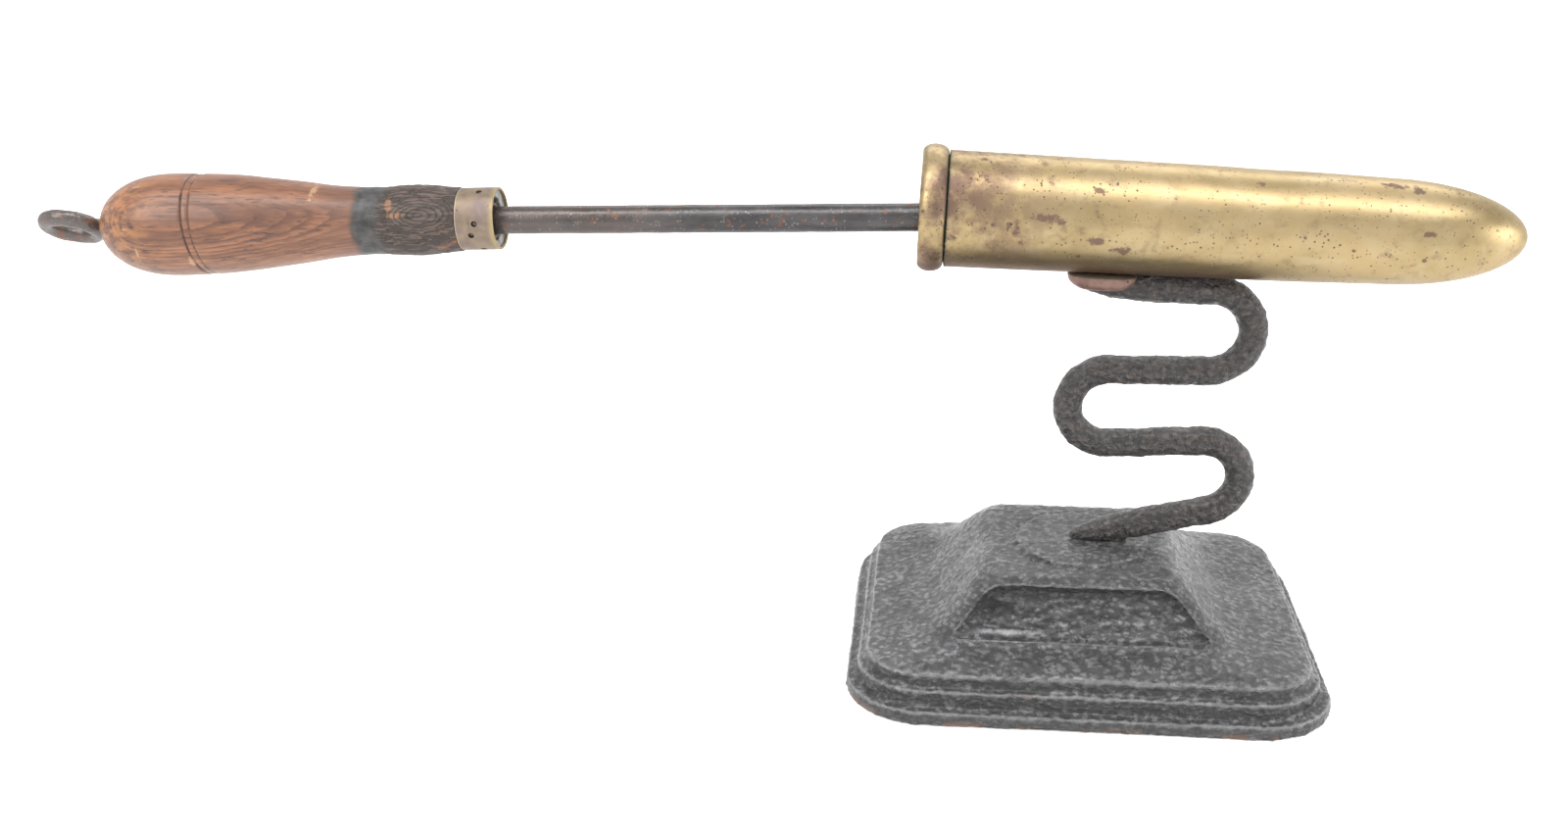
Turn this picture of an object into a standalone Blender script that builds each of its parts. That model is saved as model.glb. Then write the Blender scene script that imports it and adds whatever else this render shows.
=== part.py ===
"""Goffering iron: a brass barrel on a wrought serpentine stem and a stepped cast-iron base, with
the loose heater (slug, rod and turned handle) resting in the barrel. Metres, +Z up. The origin is
under the middle of the whole object, on the surface it stands on, with the nose of the barrel at +X."""

from math import atan, cos, hypot, pi, radians, sin, sqrt, tan

import bmesh
import bpy
from mathutils import Matrix, Vector

MM = 0.001

# Fits
CLEARANCE = 0.3 * MM          # between pieces that touch
ROUND_STEPS = 28              # sides of the large turned pieces
SMALL_STEPS = 16              # sides of rods, pegs and fasteners

# Base casting: a rounded rectangle in three tiers, a raised block and a low round boss
BASE_LENGTH = 135.7 * MM
BASE_WIDTH = 116.2 * MM
BASE_CORNER = 23.0 * MM
TIER_HEIGHTS = (4.7 * MM, 4.8 * MM, 3.7 * MM)
TIER_STEPS = (0.0, 3.2 * MM, 2.5 * MM)
TIER_EDGE = 0.8 * MM
FOOT_RISE = 3.2 * MM          # rise of the foot's top from its edge to the block
FOOT_LEDGE_X = 19.6 * MM      # level part of the foot beyond the block's ends
FOOT_LEDGE_Y = 9.25 * MM      # and beyond its front and back
BLOCK_RISE = 15.4 * MM        # from the foot to the block's top
BLOCK_SPREAD = 15.5 * MM      # how far each wall runs out on its way down
BLOCK_CORNER = 6.0 * MM
BLOCK_AT = -1.7 * MM          # the block stands this far from the middle of the base
BOSS_MARGIN = 6.55 * MM       # of the block's top left round the boss
BOSS_RISE = 0.8 * MM
CASTING_WALL = 4.5 * MM
PANEL_DEPTH = 2.4 * MM        # sunken panel in the front and back wall of the block
PANEL_MARGIN = 2.8 * MM

# Stem: a round bar bent from its foot upwards: run, bend, run, bend, run, bend, run
BAR_RADIUS = 4.3 * MM
FOOT_POINT = -4.3 * MM        # the bar's lower point, from the middle of the base
FOOT_ANGLE = 13.4             # degrees that the lowest run rises
RUNS = (41.0 * MM, 27.2 * MM, 27.5 * MM, 37.0 * MM)
BEND_RADII = (10.9 * MM, 11.1 * MM, 11.8 * MM)
BEND_TURNS = (169.3, -182.2, 177.8)
POINT_LENGTH = 22.0 * MM      # drawn-down length at each end of the bar
SEAT_FLAT = 0.6 * MM          # filed off the bar where the barrel sits
PEG_RADIUS = 3.0 * MM
PEG_BEYOND_POINT = 14.3 * MM  # from the bar's lower point
PEG_PROUD = 2.0 * MM          # beyond the nut
WASHER_RADIUS = 8.0 * MM
WASHER_THICKNESS = 1.5 * MM
NUT_WIDTH = 11.0 * MM
NUT_HEIGHT = 5.0 * MM

# Barrel: a tapered tube, closed by a bullet nose, with a rolled collar at the mouth
MOUTH_X = -46.2 * MM          # from the middle of the base
BARREL_TILT = 2.2             # degrees, nose down
BARREL_LENGTH = 160.0 * MM
MOUTH_RADIUS = 16.2 * MM
SHOULDER_RADIUS = 15.1 * MM
TAPER_LENGTH = 26.0 * MM      # from the shoulder to the nose
NOSE_LENGTH = 37.0 * MM
NOSE_RADIUS = 14.4 * MM
BARREL_WALL = 2.0 * MM
COLLAR_RADIUS = 17.75 * MM
COLLAR_WIDTH = 7.4 * MM       # centred on the mouth's plane
COLLAR_BULGE = 2.2 * MM
COLLAR_SEAT = 2.2 * MM        # length of the barrel's turned-down end, inside the collar
COLLAR_CUT = 1.4 * MM         # how far that end is turned down
LUG_LENGTH = 19.5 * MM
LUG_WIDTH = 12.5 * MM
LUG_DEPTH = 4.5 * MM          # below the barrel
LUG_PAST_POINT = 5.6 * MM     # its middle, from the bar's upper point
LUG_END_SLOPE = 4.2 * MM
LUG_END_RISE = 3.0 * MM
RIVET_RADIUS = 1.5 * MM
RIVET_FROM_LUG = 4.7 * MM     # from the lug's middle
RIVET_IN_LUG = 3.0 * MM
RIVET_IN_BAR = 2.2 * MM

# Heater: an iron slug pinned to a rod, which carries the turned handle
CROSSING = 45.0 * MM          # where the heater's axis crosses the barrel's, from the mouth
HEATER_SLOPE = 1.3            # degrees that the rod falls towards the handle
SLUG_LENGTH = 84.0 * MM
SLUG_CHAMFER = 2.0 * MM
SLUG_SOCKET = 24.0 * MM
SLUG_PIN_RADIUS = 1.5 * MM
SLUG_PIN_DEPTH = 12.0 * MM
ROD_RADIUS = 3.97 * MM
FERRULE_MOUTH = 168.2 * MM    # from the crossing to the open end of the ferrule
FERRULE_LENGTH = 11.2 * MM
FERRULE_RADIUS = 8.9 * MM
FERRULE_WALL = 0.7 * MM
FERRULE_RECESS = 3.6 * MM     # the wood ends this far inside
LINER_RECESS = 1.2 * MM       # from the ferrule's mouth to the ring inside it
BUSH_WALL = 1.0 * MM
BUSH_LENGTH = 1.6 * MM
TACK_RADIUS = 0.7 * MM
TACK_LENGTH = 3.2 * MM
TACK_SPOTS = (                # degrees up from the near side, distance from the ferrule's back
    (3.2, 5.8 * MM),
    (-19.3, 4.5 * MM),
    (71.7, 6.4 * MM),
    (-62.0, 6.5 * MM),
)
BUTT_CAP = 23.0 * MM
BUTT_FULLNESS = 2.2
HANDLE_OUTLINE = (            # distance from the butt, radius
    (23.0 * MM, 14.9 * MM),
    (41.0 * MM, 14.2 * MM),
    (59.0 * MM, 12.1 * MM),
    (71.0 * MM, 10.45 * MM),
    (81.0 * MM, 9.8 * MM),
    (94.5 * MM, 10.3 * MM),
    (102.0 * MM, 9.85 * MM),
    (108.2 * MM, 9.1 * MM),
)
HANDLE_DROOP = 0.7            # degrees that the wood hangs below the rod's line
DROOP_FROM = 212.0 * MM       # where their axes cross, from the heater's origin
TANG_RADIUS = 3.0 * MM
TANG_LENGTH = 72.0 * MM
EYE_RADIUS = 7.2 * MM
EYE_BAR = 2.55 * MM
EYE_REACH = 19.9 * MM         # from the butt to the far side of the eye
EYE_TILT = 34.0               # degrees, near side high
EYE_LIFT = 5.5                # degrees, far end high
SHANK_RADIUS = 2.0 * MM
SHANK_DEPTH = 20.0 * MM


# Places worked out from the sizes above

def tier_inset(tier):
    return sum(TIER_STEPS[: tier + 1])


FOOT_EDGE = sum(TIER_HEIGHTS)
FOOT_INSET = tier_inset(len(TIER_STEPS) - 1) + TIER_EDGE
BLOCK_LENGTH = BASE_LENGTH - 2.0 * (FOOT_INSET + FOOT_LEDGE_X + BLOCK_SPREAD)
BLOCK_WIDTH = BASE_WIDTH - 2.0 * (FOOT_INSET + FOOT_LEDGE_Y + BLOCK_SPREAD)
BOSS_RADIUS = BLOCK_LENGTH / 2.0 - BOSS_MARGIN
BLOCK_FOOT = FOOT_EDGE + FOOT_RISE
BLOCK_TOP = BLOCK_FOOT + BLOCK_RISE
BOSS_TOP = BLOCK_TOP + BOSS_RISE
PLATE_UNDERSIDE = BLOCK_TOP - CASTING_WALL
PEG_AT = FOOT_POINT + PEG_BEYOND_POINT
SHOULDER_AT = BARREL_LENGTH - NOSE_LENGTH - TAPER_LENGTH
HANDLE_LENGTH = HANDLE_OUTLINE[-1][0]
FERRULE_BACK = FERRULE_MOUTH + FERRULE_LENGTH
BUTT = FERRULE_BACK + CLEARANCE + HANDLE_LENGTH
WOOD_END = FERRULE_MOUTH + FERRULE_RECESS
SPIGOT_RADIUS = FERRULE_RADIUS - FERRULE_WALL - CLEARANCE
BUSH_RADIUS = ROD_RADIUS + CLEARANCE + BUSH_WALL
LINER_BORE = BUSH_RADIUS + CLEARANCE + (DROOP_FROM - FERRULE_MOUTH) * sin(radians(HANDLE_DROOP))


def barrel_radius(along):
    """Outer radius of the barrel at a distance from its mouth."""
    nose_start = BARREL_LENGTH - NOSE_LENGTH
    if along <= SHOULDER_AT:
        share = along / SHOULDER_AT
        return MOUTH_RADIUS + share * (SHOULDER_RADIUS - MOUTH_RADIUS)
    if along <= nose_start:
        share = (along - SHOULDER_AT) / (nose_start - SHOULDER_AT)
        return SHOULDER_RADIUS + share * (NOSE_RADIUS - SHOULDER_RADIUS)
    share = min((along - nose_start) / NOSE_LENGTH, 1.0)
    return NOSE_RADIUS * sqrt(1.0 - share * share)


def bar_path():
    """The bar's centre line as (x, z) points, from its lower point to its upper one, and the place
    where the last bend ends."""
    x, z, heading = FOOT_POINT, BOSS_TOP + CLEARANCE, radians(FOOT_ANGLE)
    points = [(x, z)]
    for index, run in enumerate(RUNS):
        pieces = 16 if index in (0, len(RUNS) - 1) else 5
        for _ in range(pieces):
            x += run / pieces * cos(heading)
            z += run / pieces * sin(heading)
            points.append((x, z))
        if index == len(BEND_RADII):
            break
        turn = radians(BEND_TURNS[index])
        side = 1.0 if turn > 0.0 else -1.0
        centre_x = x - side * BEND_RADII[index] * sin(heading)
        centre_z = z + side * BEND_RADII[index] * cos(heading)
        steps = 14
        for step in range(1, steps + 1):
            now = heading + turn * step / steps
            x = centre_x + side * BEND_RADII[index] * sin(now)
            z = centre_z - side * BEND_RADII[index] * cos(now)
            points.append((x, z))
        heading += turn
        last_bend = (x, z)
    return points, last_bend


BAR_POINTS, TOP_BEND_END = bar_path()
SEAT_AT = (TOP_BEND_END[0] - MOUTH_X) / cos(radians(BARREL_TILT))
MOUTH_Z = (
    TOP_BEND_END[1] + BAR_RADIUS - SEAT_FLAT + CLEARANCE
    + barrel_radius(SEAT_AT) / cos(radians(BARREL_TILT))
    + (TOP_BEND_END[0] - MOUTH_X) * tan(radians(BARREL_TILT))
)
LUG_AT = LUG_PAST_POINT + (
    (BAR_POINTS[-1][0] - MOUTH_X) * cos(radians(BARREL_TILT))
    - (BAR_POINTS[-1][1] - MOUTH_Z) * sin(radians(BARREL_TILT))
)
RIVET_AT = LUG_AT + RIVET_FROM_LUG
CROSSING_X = MOUTH_X + CROSSING * cos(radians(BARREL_TILT))
CROSSING_Z = MOUTH_Z - CROSSING * sin(radians(BARREL_TILT))
NOSE_X = MOUTH_X + BARREL_LENGTH * cos(radians(BARREL_TILT))
EYE_END_X = CROSSING_X - (BUTT + EYE_REACH) * cos(radians(HEATER_SLOPE + HANDLE_DROOP))
BASE_X = -(NOSE_X + EYE_END_X) / 2.0
SLUG_LEAN = radians(BARREL_TILT + HEATER_SLOPE)


# Tools

def clear_scene():
    for item in list(bpy.data.objects):
        bpy.data.objects.remove(item, do_unlink=True)


def finish(name, colour, roughness, metallic):
    material = bpy.data.materials.new(name)
    material.use_nodes = True
    shader = material.node_tree.nodes["Principled BSDF"]
    shader.inputs["Base Color"].default_value = (*colour, 1.0)
    shader.inputs["Roughness"].default_value = roughness
    shader.inputs["Metallic"].default_value = metallic
    return material


def place(name, build, parent, material=None, smooth_angle=35.0):
    """A bmesh made into a named object under its parent empty."""
    mesh = bpy.data.meshes.new(name)
    build.to_mesh(mesh)
    build.free()
    mesh.shade_smooth()
    mesh.set_sharp_from_angle(angle=radians(smooth_angle))
    thing = bpy.data.objects.new(name, mesh)
    bpy.context.scene.collection.objects.link(thing)
    thing.parent = parent
    if material:
        mesh.materials.append(material)
    return thing


def frame_empty(name, x, z, turn, parent=None):
    """An empty whose X axis is the axis of the pieces under it. A positive turn dips +X."""
    empty = bpy.data.objects.new(name, None)
    bpy.context.scene.collection.objects.link(empty)
    empty.location = (x, 0.0, z)
    empty.rotation_euler = (0.0, radians(turn), 0.0)
    empty.parent = parent
    return empty


def boolean(target, other, operation="DIFFERENCE"):
    """Cuts or joins a helper object, which stays out of the model."""
    other.hide_render = True
    other.display_type = "WIRE"
    modifier = target.modifiers.new(other.name, "BOOLEAN")
    modifier.object = other
    modifier.operation = operation
    modifier.solver = "EXACT"


def turned(outline, steps):
    """A closed outline of (along X, radius) points, spun about X."""
    build = bmesh.new()
    ring = [build.verts.new((along, 0.0, radius)) for along, radius in outline]
    edges = [build.edges.new((ring[i - 1], ring[i])) for i in range(len(ring))]
    bmesh.ops.spin(
        build, geom=ring + edges, cent=(0.0, 0.0, 0.0), axis=(1.0, 0.0, 0.0),
        angle=2.0 * pi, steps=steps, use_merge=True,
    )
    bmesh.ops.remove_doubles(build, verts=build.verts, dist=1e-6)
    bmesh.ops.recalc_face_normals(build, faces=build.faces)
    return build


def rod_outline(start, end, radius):
    return [(start, 0.0), (end, 0.0), (end, radius), (start, radius)]


def tube_outline(start, end, inner, outer):
    return [(start, inner), (end, inner), (end, outer), (start, outer)]


def upright(radius, bottom, top, x=0.0, steps=SMALL_STEPS):
    """A vertical cylinder."""
    build = bmesh.new()
    bmesh.ops.create_cone(
        build, cap_ends=True, segments=steps, radius1=radius, radius2=radius, depth=top - bottom,
        matrix=Matrix.Translation((x, 0.0, (top + bottom) / 2.0)),
    )
    return build


def rounded_rectangle(half_x, half_y, corner, height, middle=0.0, steps=5):
    """Points of a rounded rectangle, anticlockwise from its +X side."""
    points = []
    for quarter, (sign_x, sign_y) in enumerate(((1, 1), (-1, 1), (-1, -1), (1, -1))):
        for step in range(steps + 1):
            angle = (quarter + step / steps) * pi / 2.0
            points.append((
                middle + sign_x * (half_x - corner) + corner * cos(angle),
                sign_y * (half_y - corner) + corner * sin(angle),
                height,
            ))
    return points


def loft(rings):
    """Rings of as many points each, joined from the lowest to the highest and capped."""
    build = bmesh.new()
    levels = [[build.verts.new(point) for point in ring] for ring in rings]
    for low, high in zip(levels, levels[1:]):
        for i in range(len(low)):
            build.faces.new((low[i - 1], low[i], high[i], high[i - 1]))
    build.faces.new(levels[0][::-1])
    build.faces.new(levels[-1])
    bmesh.ops.recalc_face_normals(build, faces=build.faces)
    return build


# The stand

def base_rings():
    rings = []
    floor = 0.0
    for tier, rise in enumerate(TIER_HEIGHTS):
        inset = tier_inset(tier)
        for extra, height in ((0.0, floor), (0.0, floor + rise - TIER_EDGE), (TIER_EDGE, floor + rise)):
            rings.append(rounded_rectangle(
                BASE_LENGTH / 2 - inset - extra, BASE_WIDTH / 2 - inset - extra,
                BASE_CORNER - inset - extra, height,
            ))
        floor += rise
    # The foot's top rises to the block, whose walls sweep up from it in a hollow curve.
    sweep = ((1.35, -0.06), (1.0, 0.06), (0.72, 0.30), (0.40, 0.62), (0.08, 0.93), (-0.06, 1.0))
    for spread, rise in sweep:
        rings.append(rounded_rectangle(
            BLOCK_LENGTH / 2 + spread * BLOCK_SPREAD, BLOCK_WIDTH / 2 + spread * BLOCK_SPREAD,
            BLOCK_CORNER * (1.0 + spread), BLOCK_FOOT + rise * BLOCK_RISE, BLOCK_AT,
        ))
    return rings


def base_hollow_rings():
    """The open underside, a casting wall inside the outer faces."""
    foot_x = BLOCK_LENGTH / 2 + BLOCK_SPREAD - CASTING_WALL
    foot_y = BLOCK_WIDTH / 2 + BLOCK_SPREAD - CASTING_WALL
    rim = CASTING_WALL + TIER_EDGE
    edge = tier_inset(2) + CASTING_WALL
    slant = CASTING_WALL + PANEL_DEPTH
    return [
        rounded_rectangle(BASE_LENGTH / 2 - rim, BASE_WIDTH / 2 - rim, BASE_CORNER - rim, -CASTING_WALL),
        rounded_rectangle(BASE_LENGTH / 2 - rim, BASE_WIDTH / 2 - rim, BASE_CORNER - rim, 0.0),
        rounded_rectangle(BASE_LENGTH / 2 - edge, BASE_WIDTH / 2 - edge, BASE_CORNER - edge,
                          FOOT_EDGE - CASTING_WALL),
        rounded_rectangle(foot_x - CASTING_WALL, foot_y - CASTING_WALL, BLOCK_CORNER,
                          BLOCK_FOOT - CASTING_WALL, BLOCK_AT),
        rounded_rectangle(BLOCK_LENGTH / 2 + CASTING_WALL - slant, BLOCK_WIDTH / 2 + CASTING_WALL - slant,
                          BLOCK_CORNER / 2, PLATE_UNDERSIDE, BLOCK_AT),
    ]


def panel_cutter(side):
    """The trapezium sunk into one wall of the block: parallel to the wall, PANEL_DEPTH deep."""
    wall_y = BLOCK_WIDTH / 2
    top = BLOCK_TOP - PANEL_MARGIN
    bottom = BLOCK_FOOT + PANEL_MARGIN
    top_half = BLOCK_LENGTH / 2 - PANEL_MARGIN / 2
    bottom_half = BLOCK_LENGTH / 2 + BLOCK_SPREAD - 2.0 * PANEL_MARGIN
    top_y = wall_y + (BLOCK_TOP - top) / BLOCK_RISE * BLOCK_SPREAD
    bottom_y = wall_y + (BLOCK_TOP - bottom) / BLOCK_RISE * BLOCK_SPREAD
    lean = atan(BLOCK_RISE / BLOCK_SPREAD)
    rings = []
    for depth in (-PANEL_DEPTH, 3.0 * PANEL_DEPTH):
        out_y, out_z = depth * sin(lean), depth * cos(lean)
        rings.append([
            (BLOCK_AT + top_half, side * (top_y + out_y), top + out_z),
            (BLOCK_AT - top_half, side * (top_y + out_y), top + out_z),
            (BLOCK_AT - bottom_half, side * (bottom_y + out_y), bottom + out_z),
            (BLOCK_AT + bottom_half, side * (bottom_y + out_y), bottom + out_z),
        ])
    return loft(rings)


def make_base(stand, iron):
    base = place("base_casting", loft(base_rings()), stand, iron)
    boss = place("boss_shape", upright(BOSS_RADIUS, BLOCK_TOP - BOSS_RISE, BOSS_TOP, steps=ROUND_STEPS), stand)
    boolean(base, boss, "UNION")
    boolean(base, place("hollow_cutter", loft(base_hollow_rings()), stand))
    for name, side in (("front_panel_cutter", -1.0), ("back_panel_cutter", 1.0)):
        boolean(base, place(name, panel_cutter(side), stand))
    hole = upright(PEG_RADIUS + CLEARANCE, 0.0, BOSS_TOP + CASTING_WALL, x=PEG_AT)
    boolean(base, place("peg_hole_cutter", hole, stand))


def bar_radii(points):
    """The bar's radius at each point: full, and drawn down to a blunt point at both ends."""
    lengths = [0.0]
    for (x0, z0), (x1, z1) in zip(points, points[1:]):
        lengths.append(lengths[-1] + hypot(x1 - x0, z1 - z0))
    radii = []
    for length in lengths:
        from_end = min(length, lengths[-1] - length)
        share = max(0.0, 1.0 - from_end / POINT_LENGTH)
        radii.append(BAR_RADIUS * max(sqrt(1.0 - share ** 2), 0.12))
    return radii


def make_stem(stand, barrel_frame, iron):
    points = BAR_POINTS
    radii = bar_radii(points)
    rings = []
    for i, (x, z) in enumerate(points):
        before = points[max(i - 1, 0)]
        after = points[min(i + 1, len(points) - 1)]
        along = Vector((after[0] - before[0], 0.0, after[1] - before[1])).normalized()
        across = Vector((-along.z, 0.0, along.x))
        ring = []
        for step in range(12):
            angle = 2.0 * pi * step / 12
            ring.append(Vector((x, 0.0, z)) + radii[i] * (cos(angle) * across + sin(angle) * Vector((0, 1, 0))))
        rings.append(ring)
    stem = place("serpentine_stem", loft(rings), stand, iron, smooth_angle=50.0)

    plate = upright(BOSS_RADIUS * 2.0, BOSS_TOP - 2.0 * BAR_RADIUS, BOSS_TOP + CLEARANCE)
    boolean(stem, place("stem_foot_cutter", plate, stand))
    peg_end = PLATE_UNDERSIDE - WASHER_THICKNESS - NUT_HEIGHT - 2.0 * CLEARANCE - PEG_PROUD
    peg = upright(PEG_RADIUS, peg_end, BOSS_TOP + BAR_RADIUS / 2.0, x=PEG_AT)
    boolean(stem, place("stem_peg_shape", peg, stand), "UNION")
    boolean(stem, place("stem_seat_cutter", turned(seat_outline(), ROUND_STEPS), barrel_frame))
    boolean(stem, place("stem_lug_cutter", lug_block(CLEARANCE), barrel_frame))
    boolean(stem, place("stem_rivet_cutter", rivet_shape(CLEARANCE), barrel_frame))


def seat_outline():
    """The barrel's outside with clearance, as a cutter for what sits against it."""
    start, end = LUG_AT - LUG_LENGTH, BARREL_LENGTH - NOSE_LENGTH
    return [
        (start, 0.0), (end, 0.0), (end, barrel_radius(end) + CLEARANCE),
        (SHOULDER_AT, SHOULDER_RADIUS + CLEARANCE), (start, barrel_radius(start) + CLEARANCE),
    ]


def make_stem_fasteners(stand, steel):
    top = PLATE_UNDERSIDE - CLEARANCE
    bottom = top - WASHER_THICKNESS
    washer = place("stem_washer", upright(WASHER_RADIUS, bottom, top, x=PEG_AT), stand, steel)
    bore = upright(PEG_RADIUS + CLEARANCE, 0.0, BLOCK_TOP, x=PEG_AT)
    bore_cutter = place("nut_bore_cutter", bore, stand)
    boolean(washer, bore_cutter)
    nut_top = bottom - CLEARANCE
    nut = bmesh.new()
    bmesh.ops.create_cube(nut, size=1.0, matrix=(
        Matrix.Translation((PEG_AT, 0.0, nut_top - NUT_HEIGHT / 2.0))
        @ Matrix.Diagonal((NUT_WIDTH, NUT_WIDTH, NUT_HEIGHT, 1.0))
    ))
    nut = place("stem_nut", nut, stand, steel)
    boolean(nut, bore_cutter)


# The barrel, in its own frame: X runs from the mouth to the nose

def make_barrel(frame, brass):
    nose_start = BARREL_LENGTH - NOSE_LENGTH
    stations = [SHOULDER_AT, nose_start]
    stations += [nose_start + NOSE_LENGTH * sin(pi / 2.0 * i / 9) for i in range(1, 10)]
    outer = [(along, barrel_radius(along)) for along in stations]
    inner = []
    for along, radius in outer[::-1]:
        share = max(along - nose_start, 0.0) / NOSE_LENGTH
        if radius > BARREL_WALL:
            inner.append((along - share * BARREL_WALL, radius - BARREL_WALL))
    shoulder = COLLAR_WIDTH / 2.0 + CLEARANCE
    end = shoulder - COLLAR_SEAT
    mouth = [
        (end, barrel_radius(end) - BARREL_WALL),
        (end, MOUTH_RADIUS - COLLAR_CUT),
        (shoulder, MOUTH_RADIUS - COLLAR_CUT),
        (shoulder, barrel_radius(shoulder)),
    ]
    bottom = [(BARREL_LENGTH - BARREL_WALL, 0.0)]
    place("barrel", turned(outer + bottom + inner + mouth, ROUND_STEPS), frame, brass)


def make_collar(frame, brass):
    """The half-round ring at the mouth, which covers the turned-down end of the barrel."""
    half = COLLAR_WIDTH / 2.0
    crown = COLLAR_RADIUS - COLLAR_BULGE
    bead = [
        (half * cos(pi * i / 8), crown + COLLAR_BULGE * sin(pi * i / 8)) for i in range(9)
    ]
    seat = half - COLLAR_SEAT
    bore = MOUTH_RADIUS - BARREL_WALL
    seat_radius = MOUTH_RADIUS - COLLAR_CUT + CLEARANCE
    inside = [(-half, bore), (seat, bore), (seat, seat_radius), (half, seat_radius)]
    place("mouth_collar", turned(bead + inside, ROUND_STEPS), frame, brass)


def lug_block(margin):
    """The boat-shaped pad under the barrel, before its top is hollowed: its ends slope upwards."""
    half = LUG_LENGTH / 2.0 + margin
    width = LUG_WIDTH / 2.0 + margin
    bottom = -(barrel_radius(LUG_AT) + CLEARANCE + LUG_DEPTH + margin)
    top = -(barrel_radius(LUG_AT) - LUG_DEPTH)
    corner = LUG_WIDTH / 4.0
    rings = [
        rounded_rectangle(half - LUG_END_SLOPE, width - corner / 2.0, corner / 2.0, bottom),
        rounded_rectangle(half, width, corner, bottom + LUG_END_RISE),
        rounded_rectangle(half, width, corner, top),
    ]
    build = loft(rings)
    bmesh.ops.translate(build, verts=build.verts, vec=(LUG_AT, 0.0, 0.0))
    return build


def rivet_shape(margin):
    """From inside the lug down into the bar's flattened point."""
    middle = -(barrel_radius(LUG_AT) + CLEARANCE + LUG_DEPTH)
    return upright(
        RIVET_RADIUS + margin, middle - RIVET_IN_BAR - 4.0 * margin, middle + RIVET_IN_LUG + margin,
        x=RIVET_AT, steps=12,
    )


def make_lug(frame, copper, steel):
    lug = place("barrel_lug", lug_block(0.0), frame, copper)
    boolean(lug, place("lug_seat_cutter", turned(seat_outline(), ROUND_STEPS), frame))
    boolean(lug, place("lug_rivet_cutter", rivet_shape(CLEARANCE), frame))
    place("lug_rivet", rivet_shape(0.0), frame, steel)


# The heater, in its own frame: X runs towards the nose and starts where the axes cross

def slug_radius(along):
    """What the barrel's bore leaves for the slug, which leans in it."""
    station = CROSSING + along * cos(SLUG_LEAN)
    return barrel_radius(station) - BARREL_WALL - CLEARANCE - abs(along) * sin(SLUG_LEAN)


def cross_cylinder(radius, half_length, along):
    """A level cylinder across the heater's axis."""
    build = bmesh.new()
    bmesh.ops.create_cone(
        build, cap_ends=True, segments=12, radius1=radius, radius2=radius, depth=2.0 * half_length,
        matrix=Matrix.Translation((along, 0.0, 0.0)) @ Matrix.Rotation(pi / 2.0, 4, "X"),
    )
    return build


def make_slug_and_rod(frame, iron, steel):
    back, front = -SLUG_LENGTH / 2.0, SLUG_LENGTH / 2.0
    back_radius, front_radius = slug_radius(back), slug_radius(front)
    slug = place("heater_slug", turned([
        (back, 0.0), (front, 0.0), (front, front_radius - SLUG_CHAMFER), (front - SLUG_CHAMFER, front_radius),
        (back + SLUG_CHAMFER, back_radius), (back, back_radius - SLUG_CHAMFER),
    ], ROUND_STEPS), frame, iron)
    socket = rod_outline(back - SLUG_CHAMFER, back + SLUG_SOCKET + CLEARANCE, ROD_RADIUS + CLEARANCE)
    boolean(slug, place("slug_socket_cutter", turned(socket, SMALL_STEPS), frame))

    shoulder = -WOOD_END + CLEARANCE
    tang_end = shoulder - TANG_LENGTH
    rod = place("heater_rod", turned([
        (tang_end, 0.0), (back + SLUG_SOCKET, 0.0), (back + SLUG_SOCKET, ROD_RADIUS), (shoulder, ROD_RADIUS),
        (shoulder, TANG_RADIUS), (tang_end + 4.0 * TANG_RADIUS, TANG_RADIUS), (tang_end, TANG_RADIUS / 2.0),
    ], SMALL_STEPS), frame, steel)

    pin_at = back + SLUG_PIN_DEPTH
    hole = cross_cylinder(SLUG_PIN_RADIUS + CLEARANCE, back_radius + SLUG_CHAMFER, pin_at)
    hole_cutter = place("slug_pin_cutter", hole, frame)
    boolean(slug, hole_cutter)
    boolean(rod, hole_cutter)
    pin = cross_cylinder(SLUG_PIN_RADIUS, slug_radius(pin_at) - SLUG_CHAMFER / 2.0, pin_at)
    place("slug_pin", pin, frame, steel)

    bush = tube_outline(shoulder, shoulder + BUSH_LENGTH, ROD_RADIUS + CLEARANCE, BUSH_RADIUS)
    place("rod_bush", turned(bush, ROUND_STEPS), frame, steel)


def smooth_outline(stations, pieces=3):
    """Points on a smooth curve through the (distance, radius) stations, level at the first one."""
    slopes = [0.0]
    for (x0, r0), (x1, r1) in zip(stations, stations[2:]):
        slopes.append((r1 - r0) / (x1 - x0))
    slopes.append((stations[-1][1] - stations[-2][1]) / (stations[-1][0] - stations[-2][0]))
    points = []
    for i in range(len(stations) - 1):
        (x0, r0), (x1, r1) = stations[i], stations[i + 1]
        span = x1 - x0
        for piece in range(pieces):
            t = piece / pieces
            radius = (
                (2 * t ** 3 - 3 * t ** 2 + 1) * r0 + (t ** 3 - 2 * t ** 2 + t) * span * slopes[i]
                + (3 * t ** 2 - 2 * t ** 3) * r1 + (t ** 3 - t ** 2) * span * slopes[i + 1]
            )
            points.append((x0 + t * span, radius))
    points.append(stations[-1])
    return points


def handle_outline():
    """From the middle of the butt to the spigot inside the ferrule, as distances from the butt."""
    full = HANDLE_OUTLINE[0][1]
    power = 2.0 / BUTT_FULLNESS
    cap = []
    for i in range(8):
        angle = pi / 2.0 * i / 8
        cap.append((BUTT_CAP * (1.0 - cos(angle) ** power), full * sin(angle) ** power))
    spigot_end = BUTT - WOOD_END
    spigot = [(HANDLE_LENGTH, SPIGOT_RADIUS), (spigot_end, SPIGOT_RADIUS), (spigot_end, 0.0)]
    return cap + smooth_outline(HANDLE_OUTLINE) + spigot


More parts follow.
